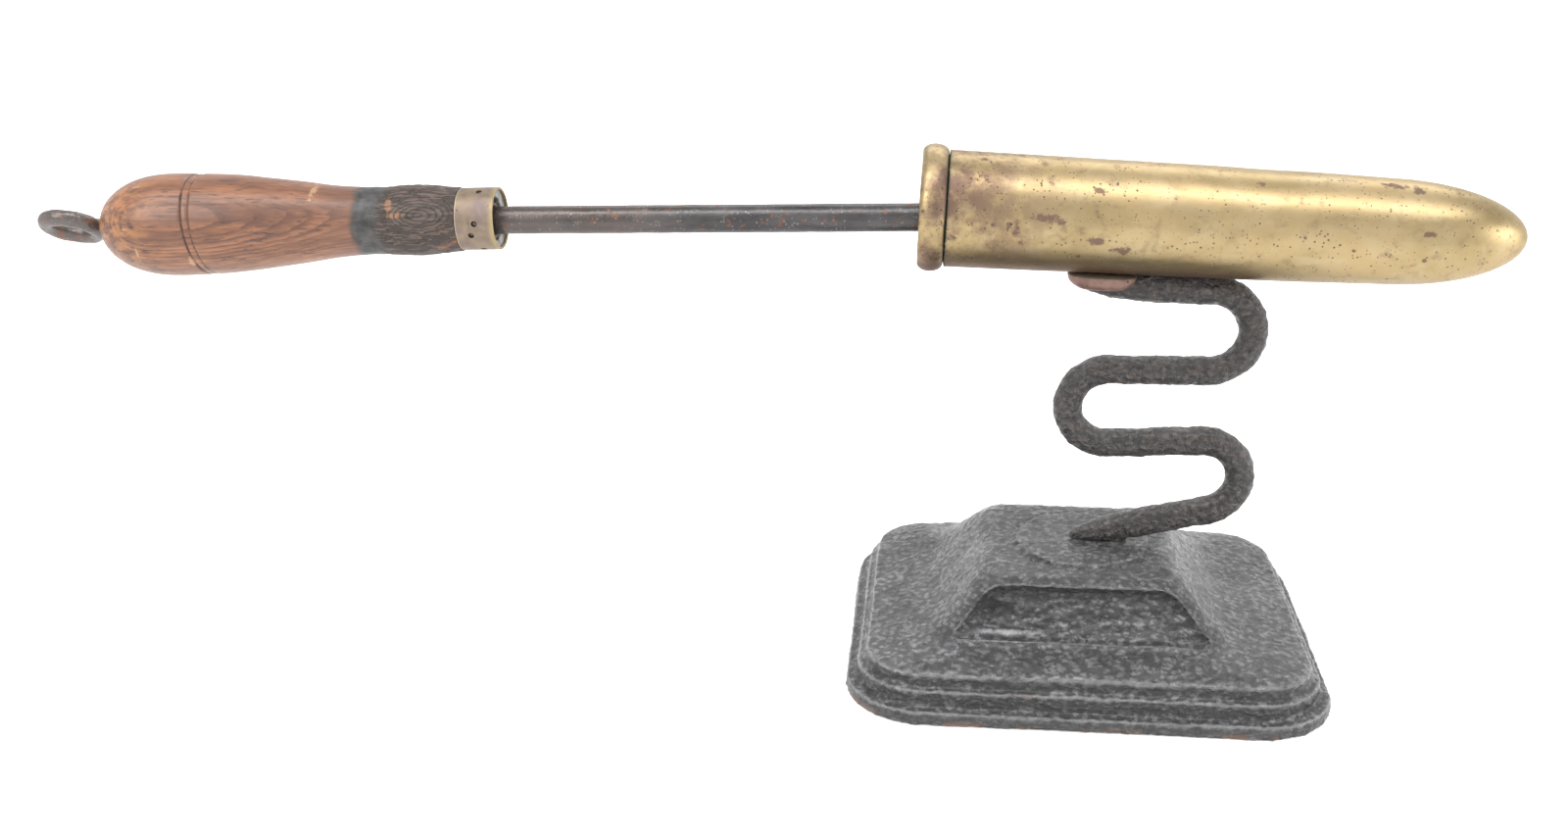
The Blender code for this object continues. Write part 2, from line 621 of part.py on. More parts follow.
def tack_shape(angle, from_back, margin):
    """A headless tack, driven in along the ferrule's radius."""
    outside = FERRULE_RADIUS + 3.0 * margin
    inside = FERRULE_RADIUS - TACK_LENGTH - margin
    build = bmesh.new()
    bmesh.ops.create_cone(
        build, cap_ends=True, segments=10, radius1=TACK_RADIUS / 2.0 + margin,
        radius2=TACK_RADIUS + margin, depth=outside - inside,
        matrix=(
            Matrix.Translation((-FERRULE_BACK + from_back, 0.0, 0.0))
            @ Matrix.Rotation(radians(90.0 - angle), 4, "X")
            @ Matrix.Translation((0.0, 0.0, (outside + inside) / 2.0))
        ),
    )
    return build


def make_handle(frame, rod_frame, wood, brass, tin, steel):
    """The wood, its ferrule and the ring inside the ferrule, on the handle's own axis. Only the
    tang's bore follows the rod."""
    outline = [(along - BUTT, radius) for along, radius in handle_outline()]
    handle = place("handle", turned(outline, ROUND_STEPS), frame, wood)
    bore = rod_outline(-WOOD_END - TANG_LENGTH, -FERRULE_MOUTH, TANG_RADIUS + CLEARANCE)
    boolean(handle, place("tang_cutter", turned(bore, SMALL_STEPS), rod_frame))
    shank_bore = rod_outline(
        -BUTT - SHANK_RADIUS, -BUTT + SHANK_DEPTH + CLEARANCE, SHANK_RADIUS + CLEARANCE
    )
    boolean(handle, place("shank_cutter", turned(shank_bore, SMALL_STEPS), frame))

    inner = FERRULE_RADIUS - FERRULE_WALL
    tube = tube_outline(-FERRULE_BACK, -FERRULE_MOUTH, inner, FERRULE_RADIUS)
    ferrule = place("ferrule", turned(tube, ROUND_STEPS), frame, brass)
    liner = tube_outline(-WOOD_END + CLEARANCE, -FERRULE_MOUTH - LINER_RECESS, LINER_BORE, SPIGOT_RADIUS)
    place("ferrule_liner", turned(liner, ROUND_STEPS), frame, tin)
    for number, (angle, from_back) in enumerate(TACK_SPOTS, 1):
        place(f"ferrule_tack_{number}", tack_shape(angle, from_back, 0.0), frame, steel)
        cutter = place(f"tack_cutter_{number}", tack_shape(angle, from_back, CLEARANCE), frame)
        boolean(ferrule, cutter)
        boolean(handle, cutter)


def make_eye(frame, steel):
    """The hanging eye: a ring of round bar with a shank screwed into the butt."""
    section = [
        (EYE_BAR * cos(2.0 * pi * i / 10), EYE_RADIUS + EYE_BAR * sin(2.0 * pi * i / 10)) for i in range(10)
    ]
    ring = turned(section, 24)
    middle = -(BUTT + EYE_REACH - EYE_BAR - EYE_RADIUS)
    bmesh.ops.transform(ring, verts=ring.verts, matrix=(
        Matrix.Translation((middle, 0.0, 0.0))
        @ Matrix.Rotation(radians(EYE_LIFT), 4, "Y")
        @ Matrix.Rotation(radians(-EYE_TILT), 4, "X")
        @ Matrix.Rotation(pi / 2.0, 4, "Y")
    ))
    eye = place("hanging_eye", ring, frame, steel, smooth_angle=50.0)
    shank = turned(rod_outline(middle + EYE_RADIUS, -BUTT + SHANK_DEPTH, SHANK_RADIUS), 12)
    boolean(eye, place("shank_shape", shank, frame), "UNION")


def main():
    clear_scene()
    japanned = finish("black_japanned_iron", (0.075, 0.078, 0.085), 0.45, 0.3)
    brass = finish("aged_brass", (0.50, 0.36, 0.15), 0.38, 1.0)
    tarnished = finish("tarnished_brass", (0.36, 0.27, 0.19), 0.45, 1.0)
    copper = finish("copper_brown", (0.32, 0.20, 0.16), 0.45, 1.0)
    tin = finish("tinned_steel", (0.55, 0.55, 0.53), 0.45, 1.0)
    steel = finish("dark_steel", (0.10, 0.085, 0.085), 0.45, 0.9)
    iron = finish("burnt_iron", (0.09, 0.07, 0.06), 0.7, 0.6)
    wood = finish("turned_hardwood", (0.30, 0.12, 0.055), 0.45, 0.0)

    stand = frame_empty("stand_frame", BASE_X, 0.0, 0.0)
    barrel_frame = frame_empty("barrel_frame", MOUTH_X, MOUTH_Z, BARREL_TILT, stand)
    heater_frame = frame_empty("heater_frame", CROSSING_X, CROSSING_Z, -HEATER_SLOPE, stand)
    # The handle's axis leaves the rod's where the two cross, and counts its distances as the rod does.
    hinge_x = CROSSING_X - DROOP_FROM * cos(radians(HEATER_SLOPE))
    hinge_z = CROSSING_Z - DROOP_FROM * sin(radians(HEATER_SLOPE))
    handle_slope = HEATER_SLOPE + HANDLE_DROOP
    handle_frame = frame_empty(
        "handle_frame", hinge_x + DROOP_FROM * cos(radians(handle_slope)),
        hinge_z + DROOP_FROM * sin(radians(handle_slope)), -handle_slope, stand,
    )

    make_base(stand, japanned)
    make_stem(stand, barrel_frame, japanned)
    make_stem_fasteners(stand, steel)
    make_barrel(barrel_frame, brass)
    make_collar(barrel_frame, brass)
    make_lug(barrel_frame, copper, steel)
    make_slug_and_rod(heater_frame, iron, steel)
    make_handle(handle_frame, heater_frame, wood, tarnished, tin, steel)
    make_eye(handle_frame, steel)


main()
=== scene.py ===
from math import asin, cos, pi, radians, sin, sqrt

import bpy
from mathutils import Matrix, Vector


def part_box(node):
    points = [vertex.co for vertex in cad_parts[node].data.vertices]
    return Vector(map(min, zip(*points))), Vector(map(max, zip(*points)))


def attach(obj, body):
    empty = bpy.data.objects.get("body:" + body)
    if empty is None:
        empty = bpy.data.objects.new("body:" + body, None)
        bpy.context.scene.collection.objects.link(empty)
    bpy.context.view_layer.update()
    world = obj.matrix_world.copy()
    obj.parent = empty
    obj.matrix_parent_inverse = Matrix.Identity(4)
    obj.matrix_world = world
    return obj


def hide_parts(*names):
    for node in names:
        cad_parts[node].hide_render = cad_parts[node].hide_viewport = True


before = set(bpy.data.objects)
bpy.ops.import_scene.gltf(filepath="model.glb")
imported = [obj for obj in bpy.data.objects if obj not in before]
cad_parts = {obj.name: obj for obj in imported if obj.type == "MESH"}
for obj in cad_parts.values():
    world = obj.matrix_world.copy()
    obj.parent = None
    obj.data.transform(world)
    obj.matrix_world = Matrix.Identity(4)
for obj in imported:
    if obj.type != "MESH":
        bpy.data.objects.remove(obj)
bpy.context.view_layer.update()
mm = 0.001
hair = 1e-6  # radius of a ring that is merged into a pole
bpy.context.tool_settings.mesh_select_mode = (True, False, False)


# Places, all read from the frame

def middleOf(node):
    low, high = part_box(node)
    return (low + high) / 2


def dipped(degrees):
    # the direction towards the nose of an axis that dips by so many degrees
    return Vector((cos(radians(degrees)), 0, -sin(radians(degrees))))


tilt = {"barrel": 2.2, "heater": -1.3, "handle": -2.0}  # degrees that each axis dips towards the nose
baseMiddle = middleOf("base_casting")
mouth = middleOf("mouth_collar")
crossing = middleOf("slug_pin") + 30 * mm * dipped(tilt["heater"])
ferruleMiddle = middleOf("ferrule")
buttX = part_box("handle")[0].x
butt = ferruleMiddle - dipped(tilt["handle"]) * (ferruleMiddle.x - buttX) / cos(radians(tilt["handle"]))


# Modelling

def deselect():
    if bpy.context.mode != "OBJECT":
        bpy.ops.object.mode_set(mode="OBJECT")
    bpy.ops.object.select_all(action="DESELECT")


def hold(piece):
    deselect()
    piece.select_set(True)
    bpy.context.view_layer.objects.active = piece


def named(name):
    piece = bpy.context.object
    piece.name = name
    piece.data.name = name
    return piece


def editAll(piece):
    hold(piece)
    bpy.ops.object.mode_set(mode="EDIT")
    bpy.ops.mesh.select_all(action="SELECT")


def extrude(*move):
    bpy.ops.mesh.extrude_region_move(TRANSFORM_OT_translate={"value": move})


def rescale(value, centre=(0, 0, 0)):
    bpy.ops.transform.resize(value=value, center_override=centre)


def applied(**kinds):
    # puts the place, turn or scale of the piece in hand into its mesh
    bpy.ops.object.transform_apply(**kinds)


def pick(piece, wanted):
    # selects the points of the piece for which wanted(place) is true, in edit mode
    hold(piece)
    for parts in (piece.data.vertices, piece.data.edges, piece.data.polygons):
        parts.foreach_set("select", [False] * len(parts))
    for point in piece.data.vertices:
        point.select = bool(wanted(point.co))
    bpy.ops.object.mode_set(mode="EDIT")


def closeUp(piece, angle=40):
    # merges doubles, turns the faces outwards and shades the piece
    editAll(piece)
    bpy.ops.mesh.remove_doubles(threshold=8 * hair)
    bpy.ops.mesh.normals_make_consistent(inside=False)
    bpy.ops.object.mode_set(mode="OBJECT")
    bpy.ops.object.shade_smooth_by_angle(angle=radians(angle))


def setDown(piece, origin, turn=(0, 0, 0)):
    # moves a finished shape to its place, with the place in its mesh
    hold(piece)
    piece.location = origin
    piece.rotation_euler = [radians(angle) for angle in turn]
    applied(location=True, rotation=True, scale=True)


def modify(piece, kind, **settings):
    hold(piece)
    modifier = piece.modifiers.new(kind.lower(), kind)
    for key, value in settings.items():
        setattr(modifier, key, value)
    bpy.ops.object.modifier_apply(modifier=modifier.name)


def melt(piece, voxel, passes):
    # makes one even skin of all the shapes in the piece
    modify(piece, "REMESH", mode="VOXEL", voxel_size=voxel, use_smooth_shade=True)
    modify(piece, "SMOOTH", factor=0.5, iterations=passes)


def roughen(piece, name, size, strength, depth=2, keepInside=0.85, **settings):
    # pushes the surface in and out by a procedural texture, mostly inwards
    texture = bpy.data.textures.new(name, "CLOUDS")
    texture.noise_scale = size
    texture.noise_depth = depth
    modify(
        piece, "DISPLACE", texture=texture, texture_coords="LOCAL", strength=strength, mid_level=keepInside, **settings
    )


def smoothed(piece):
    hold(piece)
    bpy.ops.object.shade_smooth()


def carve(piece, cutter):
    modify(piece, "BOOLEAN", object=cutter, operation="DIFFERENCE", solver="EXACT")
    bpy.data.objects.remove(cutter, do_unlink=True)


def unite(pieces, name):
    deselect()
    for piece in pieces:
        piece.select_set(True)
    bpy.context.view_layer.objects.active = pieces[0]
    bpy.ops.object.join()
    return named(name)


def turned(name, outline, sides):
    # a shape turned about X, ring by ring: (along, radius) or (along, radius, degrees that the ring leans)
    # it is drawn a thousand times too large, which keeps the rings round, and made smaller at the end
    deselect()
    bpy.ops.mesh.primitive_circle_add(vertices=sides, radius=1, rotation=(0, pi / 2, 0))
    piece = named(name)
    applied(rotation=True)
    editAll(piece)
    rings = [(ring[0] / mm, max(ring[1], hair) / mm, *ring[2:]) for ring in outline]
    at, last = rings[0][0], rings[0][1]
    leaning = 0.0
    rescale((1, last, last))
    bpy.ops.transform.translate(value=(at, 0, 0))
    for along, radius, *lean in rings[1:]:
        wanted = lean[0] if lean else 0.0
        grow = radius / last
        extrude(along - at, 0, 0)
        rescale((1, grow, grow), (along, 0, 0))
        if wanted != leaning:
            bpy.ops.transform.rotate(
                value=radians(wanted - leaning), orient_axis="Y", center_override=(along, 0, 0)
            )
        at, last, leaning = along, radius, wanted
    hold(piece)
    piece.scale = (mm, mm, mm)
    applied(scale=True)
    closeUp(piece)
    return piece


def smoothLine(stations, pieces):
    # points on a smooth curve through the (along, radius) stations
    slopes = [0.0]
    for (x0, r0), (x1, r1) in zip(stations, stations[2:]):
        slopes.append((r1 - r0) / (x1 - x0))
    slopes.append((stations[-1][1] - stations[-2][1]) / (stations[-1][0] - stations[-2][0]))
    points = []
    for i, ((x0, r0), (x1, r1)) in enumerate(zip(stations, stations[1:])):
        for step in range(pieces):
            t = step / pieces
            low = (2 * t ** 3 - 3 * t ** 2 + 1) * r0 + (t ** 3 - 2 * t ** 2 + t) * (x1 - x0) * slopes[i]
            high = (3 * t ** 2 - 2 * t ** 3) * r1 + (t ** 3 - t ** 2) * (x1 - x0) * slopes[i + 1]
            points.append((x0 + t * (x1 - x0), low + high))
    points.append(stations[-1])
    return points


def show(piece, body, slot, material, *nodes):
    # gives a finished piece its finish and its body, and hides the nodes that it stands for
    piece.data.materials.clear()
    piece.data.materials.append(material)
    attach(piece, body)
    if nodes:
        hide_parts(*nodes)
    print("made", piece.name, len(piece.data.polygons), "faces")


def settle(piece, origin, axis, *finish):
    # sets a finished piece down along its dipping axis and shows it
    setDown(piece, origin, (0, tilt[axis], 0))
    show(piece, *finish)


# Shader helpers

building = {"tree": None}  # the node tree that all the helpers below add to


def feed(node, values):
    # links or sets the inputs of a node
    for key, value in values.items():
        if isinstance(value, bpy.types.NodeSocket):
            building["tree"].links.new(value, node.inputs[key])
        else:
            node.inputs[key].default_value = value


def add(kind, inputs=None, **settings):
    node = building["tree"].nodes.new(kind)
    for key, value in settings.items():
        setattr(node, key, value)
    feed(node, inputs or {})
    return node


def sums(operation, first, second=0.5, clamp=False):
    return add("ShaderNodeMath", {0: first, 1: second}, operation=operation, use_clamp=clamp).outputs[0]


def times(first, second):
    return sums("MULTIPLY", first, second)


def plus(first, second):
    return sums("ADD", first, second)


def minus(first, second, clamp=False):
    return sums("SUBTRACT", first, second, clamp)


def larger(first, second):
    return sums("MAXIMUM", first, second)


def apart(first, second):
    # the distance between two values
    return sums("ABSOLUTE", minus(first, second))


def between(value, low, high, first=0.0, last=1.0):
    # first below low, last above high
    return add("ShaderNodeMapRange", {
        "Value": value, "From Min": low, "From Max": high, "To Min": first, "To Max": last,
    }, interpolation_type="SMOOTHSTEP").outputs[0]


def vectors(operation, first, second=None, result=0):
    inputs = {0: first} if second is None else {0: first, 1: second}
    return add("ShaderNodeVectorMath", inputs, operation=operation).outputs[result]


def lengthOf(vector):
    return vectors("LENGTH", vector, result="Value")


def stretched(vector, scale):
    return vectors("MULTIPLY", vector, scale)


def split(vector):
    return add("ShaderNodeSeparateXYZ", {0: vector}).outputs


def mixed(mask, first, second):
    return add("ShaderNodeMix", {0: mask, 6: first, 7: second}, data_type="RGBA").outputs[2]


def noise(vector, scale, detail=4.0, rough=0.55, distortion=0.0):
    return add("ShaderNodeTexNoise", {
        "Vector": vector, "Scale": scale, "Detail": detail, "Roughness": rough, "Distortion": distortion,
    }).outputs[0]


def layered(tone, *layers):
    # paints (mask, strength, colour) layers over a tone, one after another
    for mask, strength, paint in layers:
        tone = mixed(times(mask, strength), tone, paint)
    return tone


def geometry(output):
    return add("ShaderNodeNewGeometry").outputs[output]


def colour(red, green, blue):
    return (red, green, blue, 1.0)


def newGroup(name, inputs, outputs=("Mask",)):
    # inputs are (title, start), with no start for a vector
    tree = bpy.data.node_groups.new(name, "ShaderNodeTree")
    building["tree"] = tree
    for title, start in inputs:
        kind = "NodeSocketVector" if start is None else "NodeSocketFloat"
        socket = tree.interface.new_socket(title, in_out="INPUT", socket_type=kind)
        if start is not None:
            socket.default_value = start
    for title in outputs:
        tree.interface.new_socket(title, in_out="OUTPUT", socket_type="NodeSocketFloat")
    return tree, tree.nodes.new("NodeGroupInput").outputs, tree.nodes.new("NodeGroupOutput")


def use(group, inputs):
    node = add("ShaderNodeGroup", node_tree=group)
    feed(node, inputs)
    return node.outputs


def blotchGroup():
    # cloudy patches: Cover is the share of the surface, Soft the width of their edges
    tree, given, out = newGroup("blotches", [("Vector", None), ("Scale", 80.0), ("Cover", 0.3), ("Soft", 0.1)])
    cloud = noise(given["Vector"], given["Scale"], 6.0, 0.6, 0.4)
    edge = minus(0.72, times(given["Cover"], 0.44))
    feed(out, {"Mask": between(cloud, minus(edge, given["Soft"]), plus(edge, given["Soft"]))})
    return tree


def speckGroup():
    # small round pits or spots, one in some of the cells
    tree, given, out = newGroup("specks", [("Vector", None), ("Scale", 300.0), ("Share", 0.1), ("Size", 0.3)])
    wobble = noise(given["Vector"], 900.0, 2.0)
    cells = add("ShaderNodeTexVoronoi", {"Vector": given["Vector"], "Scale": given["Scale"]}).outputs
    chance = add("ShaderNodeSeparateColor", {0: cells["Color"]}).outputs
    chosen = sums("LESS_THAN", chance[0], given["Share"])
    reach = times(given["Size"], plus(chance[1], wobble))
    spot = between(minus(1.0, sums("DIVIDE", cells["Distance"], reach)), 0.0, 0.5)
    feed(out, {"Mask": times(spot, chosen)})
    return tree


def stainGroup():
    # one ragged stain round a place on the piece
    tree, given, out = newGroup("stain", [("Vector", None), ("Centre", None), ("Reach", None), ("Ragged", 0.8)])
    away = vectors("SUBTRACT", given["Vector"], given["Centre"])
    distance = lengthOf(vectors("DIVIDE", away, given["Reach"]))
    cloud = minus(noise(given["Vector"], 420.0, 7.0, 0.72), 0.5)
    torn = times(cloud, times(given["Ragged"], 3.4))
    feed(out, {"Mask": between(minus(plus(1.0, torn), distance), 0.12, 0.6)})
    return tree


def edgeGroup():
    # edges for wear and for painted edge highlight: where the surface turns outwards, broken up by noise
    tree, given, out = newGroup("edgeWearAndHighlight", [("Vector", None), ("Start", 0.52), ("Full", 0.6), ("Broken", 0.5)])
    ragged = times(noise(given["Vector"], 260.0, 5.0), given["Broken"])
    edge = between(geometry("Pointiness"), given["Start"], given["Full"])
    feed(out, {"Mask": times(edge, minus(1.0, ragged))})
    return tree


def scratchGroup():
    # thin scratches along X, longer with a larger Stretch
    tree, given, out = newGroup("scratches", [("Vector", None), ("Fine", 900.0), ("Stretch", 12.0), ("Share", 0.3)])
    along, across, up = split(given["Vector"])[0:3]
    squeezed = add("ShaderNodeCombineXYZ", {0: sums("DIVIDE", along, given["Stretch"]), 1: across, 2: up}).outputs[0]
    line = between(apart(noise(squeezed, given["Fine"], 2.0, 0.5), 0.5), 0.0, 0.02, 1.0, 0.0)
    where = between(noise(given["Vector"], 120.0, 3.0), 0.62, 0.7)
    feed(out, {"Mask": times(line, times(where, given["Share"]))})
    return tree


def pebbleGroup():
    # the pebbled skin of hammered, lacquered iron
    tree, given, out = newGroup("pebbledSkin", [("Vector", None), ("Scale", 500.0), ("Stretch", None)], ["Height"])
    vector = stretched(given["Vector"], given["Stretch"])
    bend = add("ShaderNodeTexNoise", {"Vector": vector, "Scale": 220.0, "Detail": 2.0}).outputs["Color"]
    warped = add("ShaderNodeVectorMath", {0: bend, 1: (0.0022, 0.0022, 0.0022), 2: vector},
                 operation="MULTIPLY_ADD").outputs[0]
    large = add("ShaderNodeTexVoronoi", {
        "Vector": warped, "Scale": given["Scale"], "Smoothness": 0.6,
    }, feature="SMOOTH_F1").outputs["Distance"]
    fine = noise(warped, times(given["Scale"], 2.2), 5.0, 0.62)
    feed(out, {"Height": plus(times(large, -0.8), times(fine, 0.9))})
    return tree


blotches, specks, stain = blotchGroup(), speckGroup(), stainGroup()
edgeWearAndHighlight, scratches, pebbledSkin = edgeGroup(), scratchGroup(), pebbleGroup()
print("shader groups ready")


def blotch(vector, scale, cover, soft):
    return use(blotches, {"Vector": vector, "Scale": scale, "Cover": cover, "Soft": soft})["Mask"]


def speck(vector, scale, share, reach):
    return use(specks, {"Vector": vector, "Scale": scale, "Share": share, "Size": reach})["Mask"]


def stained(vector, centre, reach, ragged):
    return use(stain, {"Vector": vector, "Centre": centre, "Reach": reach, "Ragged": ragged})["Mask"]


def stainedRound(vector, marks, radiusAt, ragged):
    # one mask for each (distance along, degrees up from the near side, half length, half width) mark, in mm
    for distance, up, length, width in marks:
        radius = radiusAt(distance * mm)
        centre = (distance * mm, -radius * cos(radians(up)), radius * sin(radians(up)))
        yield stained(vector, centre, (length * mm, width * mm, width * mm), ragged)


def edgesForWearAndHighlight(vector, start, full, broken):
    return use(edgeWearAndHighlight, {"Vector": vector, "Start": start, "Full": full, "Broken": broken})["Mask"]


def startMaterial(name):
    # a new material, its Principled shader and its object coordinates
    material = bpy.data.materials.new(name)
    material.use_nodes = True
    building["tree"] = material.node_tree
    shader = material.node_tree.nodes["Principled BSDF"]
    return material, shader, add("ShaderNodeTexCoord").outputs["Object"]


def bumped(height, distance, strength=1.0, below=None):
    inputs = {"Height": height, "Distance": distance, "Strength": strength}
    if below:
        inputs["Normal"] = below
    return add("ShaderNodeBump", inputs).outputs[0]


def axisPlace(place, origin, dip):
    # object coordinates seen along a dipping axis: X runs along it from the origin
    moved = vectors("SUBTRACT", place, tuple(origin))
    return add("ShaderNodeVectorRotate", {"Vector": moved, "Angle": radians(-dip)},
               rotation_type="Y_AXIS").outputs[0]


# Lacquered iron of the base and the stem

japanLook = {
    "dark": colour(0.020, 0.020, 0.021),
    "body": colour(0.062, 0.061, 0.064),
    # dust, with a painted sheen on the surfaces that face up
    "dustAndSheen": colour(0.330, 0.334, 0.345),
    "rust": colour(0.230, 0.105, 0.052),
    "brown": colour(0.082, 0.060, 0.049),
    # painted edge highlight, partly rubbed wear
    "rubbed": colour(0.42, 0.42, 0.43),
    "glints": colour(0.50, 0.50, 0.51),
    # colour of the painted highlights on the tier edges
    "tierEdgeHighlights": colour(0.45, 0.45, 0.46),
    # pale colour of the painted highlight on the panel's ledge
    "paleMark": colour(0.66, 0.66, 0.68),
    "bump": 2.4 * mm,
}


def baseMarks(tone, coated, place, up):
    # a painted highlight on the panel's ledge, a painted shadow in the recess over it, and painted highlights along the
    # tier edges
    # painted highlight on the panel's ledge
    ledgeHighlight = stained(place, (baseMiddle.x - 22 * mm, -39.5 * mm, 18.6 * mm), (16 * mm, 8 * mm, 1 * mm), 0.3)
    # painted shadow under the panel's upper edge, where the coat is also taken off
    panelShadow = stained(place, (baseMiddle.x - 26 * mm, -33 * mm, 25 * mm), (12 * mm, 7 * mm, 5 * mm), 0.4)
    # painted highlights along the rounded edges of the tiers
    leaning = times(between(up, 0.2, 0.5), between(up, 0.98, 0.86))
    onTiers = between(split(place)[2], 13.8 * mm, 13.3 * mm)
    tierEdgeHighlights = times(times(leaning, onTiers), between(geometry("Pointiness"), 0.498, 0.515))
    tierEdgeHighlights = times(tierEdgeHighlights, between(noise(place, 110.0, 5.0), 0.3, 0.55, 0.3, 1.0))
    tone = layered(
        tone, (panelShadow, 0.85, japanLook["dark"]), (ledgeHighlight, 0.8, japanLook["paleMark"]), (tierEdgeHighlights, 0.42, japanLook["tierEdgeHighlights"])
    )
    return tone, times(coated, minus(1.0, panelShadow))


def japannedIron(name, scale, stretch, dustAndSheenShare, rusty, brown, glint, coat, marks=None):
    # marks, if given, adds what only one piece has
    material, shader, place = startMaterial(name)
    height = use(pebbledSkin, {"Vector": place, "Scale": scale, "Stretch": stretch})["Height"]
    up = split(geometry("Normal"))[2]
    edges = edgesForWearAndHighlight(place, 0.507, 0.545, 0.7)
    # dust and painted sheen: lighter where the surface faces up, broken up by noise
    dustAndTopSheen = times(between(up, 0.1, 0.95), between(noise(place, 120.0, 5.0), 0.2, 0.8))
    bottomRust = times(between(split(place)[2], 2.6 * mm, 0.4 * mm), blotch(place, 55.0, 0.42, 0.05))
    edgeRust = times(edges, blotch(place, 34.0, 0.22, 0.05))
    tone = layered(
        mixed(between(height, -0.1, 0.4), japanLook["dark"], japanLook["body"]),
        (blotch(place, 70.0, brown, 0.12), 1.0, japanLook["brown"]),
        (dustAndTopSheen, dustAndSheenShare, japanLook["dustAndSheen"]),
        (between(height, 0.22, 0.02), 0.78, japanLook["dark"]),
        # painted highlight on the outward edges, partly rubbed wear
        (edges, glint, japanLook["rubbed"]),
        (times(between(height, 0.36, 0.5), glint), 0.4, japanLook["glints"]),
        (larger(bottomRust, edgeRust), rusty, japanLook["rust"]),
    )
    coated = between(height, 0.0, 0.4, 0.4 * coat, coat)
    if marks:
        tone, coated = marks(tone, coated, place, up)
    feed(shader, {
        "Base Color": tone, "Roughness": between(noise(place, 300.0, 3.0), 0.3, 0.7, 0.26, 0.38),
        "Specular IOR Level": 1.0, "Coat Weight": coated, "Coat Roughness": 0.2,
        "Normal": bumped(height, japanLook["bump"]),
    })
    return material


baseIron = japannedIron("base_iron", 640.0, (0.8, 0.85, 1.35), 0.85, 1.0, 0.10, 0.7, 0.9, baseMarks)
stemIron = japannedIron("stem_iron", 560.0, (1.0, 1.0, 1.0), 0.08, 0.0, 0.85, 0.55, 0.5)


# Base casting

castBase = {
    "corner": 23 * mm,
    "tiers": ((4.7, 0.0), (4.8, 3.2), (3.7, 2.5)),  # rise and step in, mm
    "edge": 0.8 * mm,
    "footRise": 3.2 * mm,
    "blockRise": 15.4 * mm,
    "blockSpread": 15.5 * mm,
    "blockHalf": (26.25 * mm, 26.85 * mm),
    "blockAt": -1.7 * mm,
    "sweep": ((1.35, -0.06), (1.0, 0.05), (0.72, 0.28), (0.42, 0.60), (0.20, 0.84), (0.05, 0.955), (-0.10, 1.0)),
    "bossRadius": 19.7 * mm,
    "bossRise": 0.8 * mm,
    "bossDepth": 3 * mm,
    "groove": (0.7 * mm, 0.1 * mm, 0.8 * mm),  # outside the boss, over the block's top, and its radius
    "wall": 4.5 * mm,
    "panelDepth": 2.4 * mm,
    "panelMargin": 2.8 * mm,
    "panelCorner": 3.2 * mm,
    "panelFlare": (1.12, 1.35, 1),
    "panelToolHeight": 8 * mm,
    "toolBelow": -2 * mm,
    "voxel": 0.76 * mm,
}


def roundedPlate(name, halfX, halfY, corner, height):
    deselect()
    bpy.ops.mesh.primitive_plane_add(size=2, location=(0, 0, height))
    piece = named(name)
    applied(location=True)
    editAll(piece)
    rescale((halfX, halfY, 1), (0, 0, height))
    bpy.ops.mesh.bevel(offset=corner, segments=9, affect="VERTICES")
    return piece


def stack(rings, halfX, halfY, height, middle=0.0):
    # extrudes the selected top face through rings of (half length, half width, height, middle)
    for nextX, nextY, nextHeight, nextMiddle in rings:
        extrude(nextMiddle - middle, 0, nextHeight - height)
        rescale((nextX / halfX, nextY / halfY, 1), (nextMiddle, 0, nextHeight))
        halfX, halfY, height, middle = nextX, nextY, nextHeight, nextMiddle


def panelTool(name, halfTurn):
    # the sunken panel of one sloping wall, drawn flat and then leant against it
    c = castBase
    slope = sqrt(c["blockRise"] ** 2 + c["blockSpread"] ** 2)
    foot = sum(rise for rise, _ in c["tiers"]) * mm + c["footRise"]
    high = (c["blockRise"] - 2 * c["panelMargin"]) / c["blockRise"] * slope / 2
    lowHalf = c["blockHalf"][0] + c["blockSpread"] - 2 * c["panelMargin"]
    topHalf = c["blockHalf"][0] - c["panelMargin"] / 2
    deselect()
    bpy.ops.mesh.primitive_plane_add(size=2)
    tool = named(name)
    editAll(tool)
    rescale((lowHalf, high, 1))
    pick(tool, lambda co: co.y > 0)
    rescale((topHalf / lowHalf, 1, 1))
    bpy.ops.mesh.select_all(action="SELECT")
    bpy.ops.mesh.bevel(offset=c["panelCorner"], segments=4, affect="VERTICES")
    bpy.ops.transform.translate(value=(0, 0, -c["panelDepth"]))
    extrude(0, 0, c["panelToolHeight"])
    rescale(c["panelFlare"])
    closeUp(tool)
    lean = asin(c["blockRise"] / slope)
    wallY = c["blockHalf"][1] + c["blockSpread"] / 2
    side = 1 if halfTurn else -1
    tool.location = (c["blockAt"], side * wallY, foot + c["blockRise"] / 2)
    tool.rotation_euler = (lean, 0, pi if halfTurn else 0)
    return tool


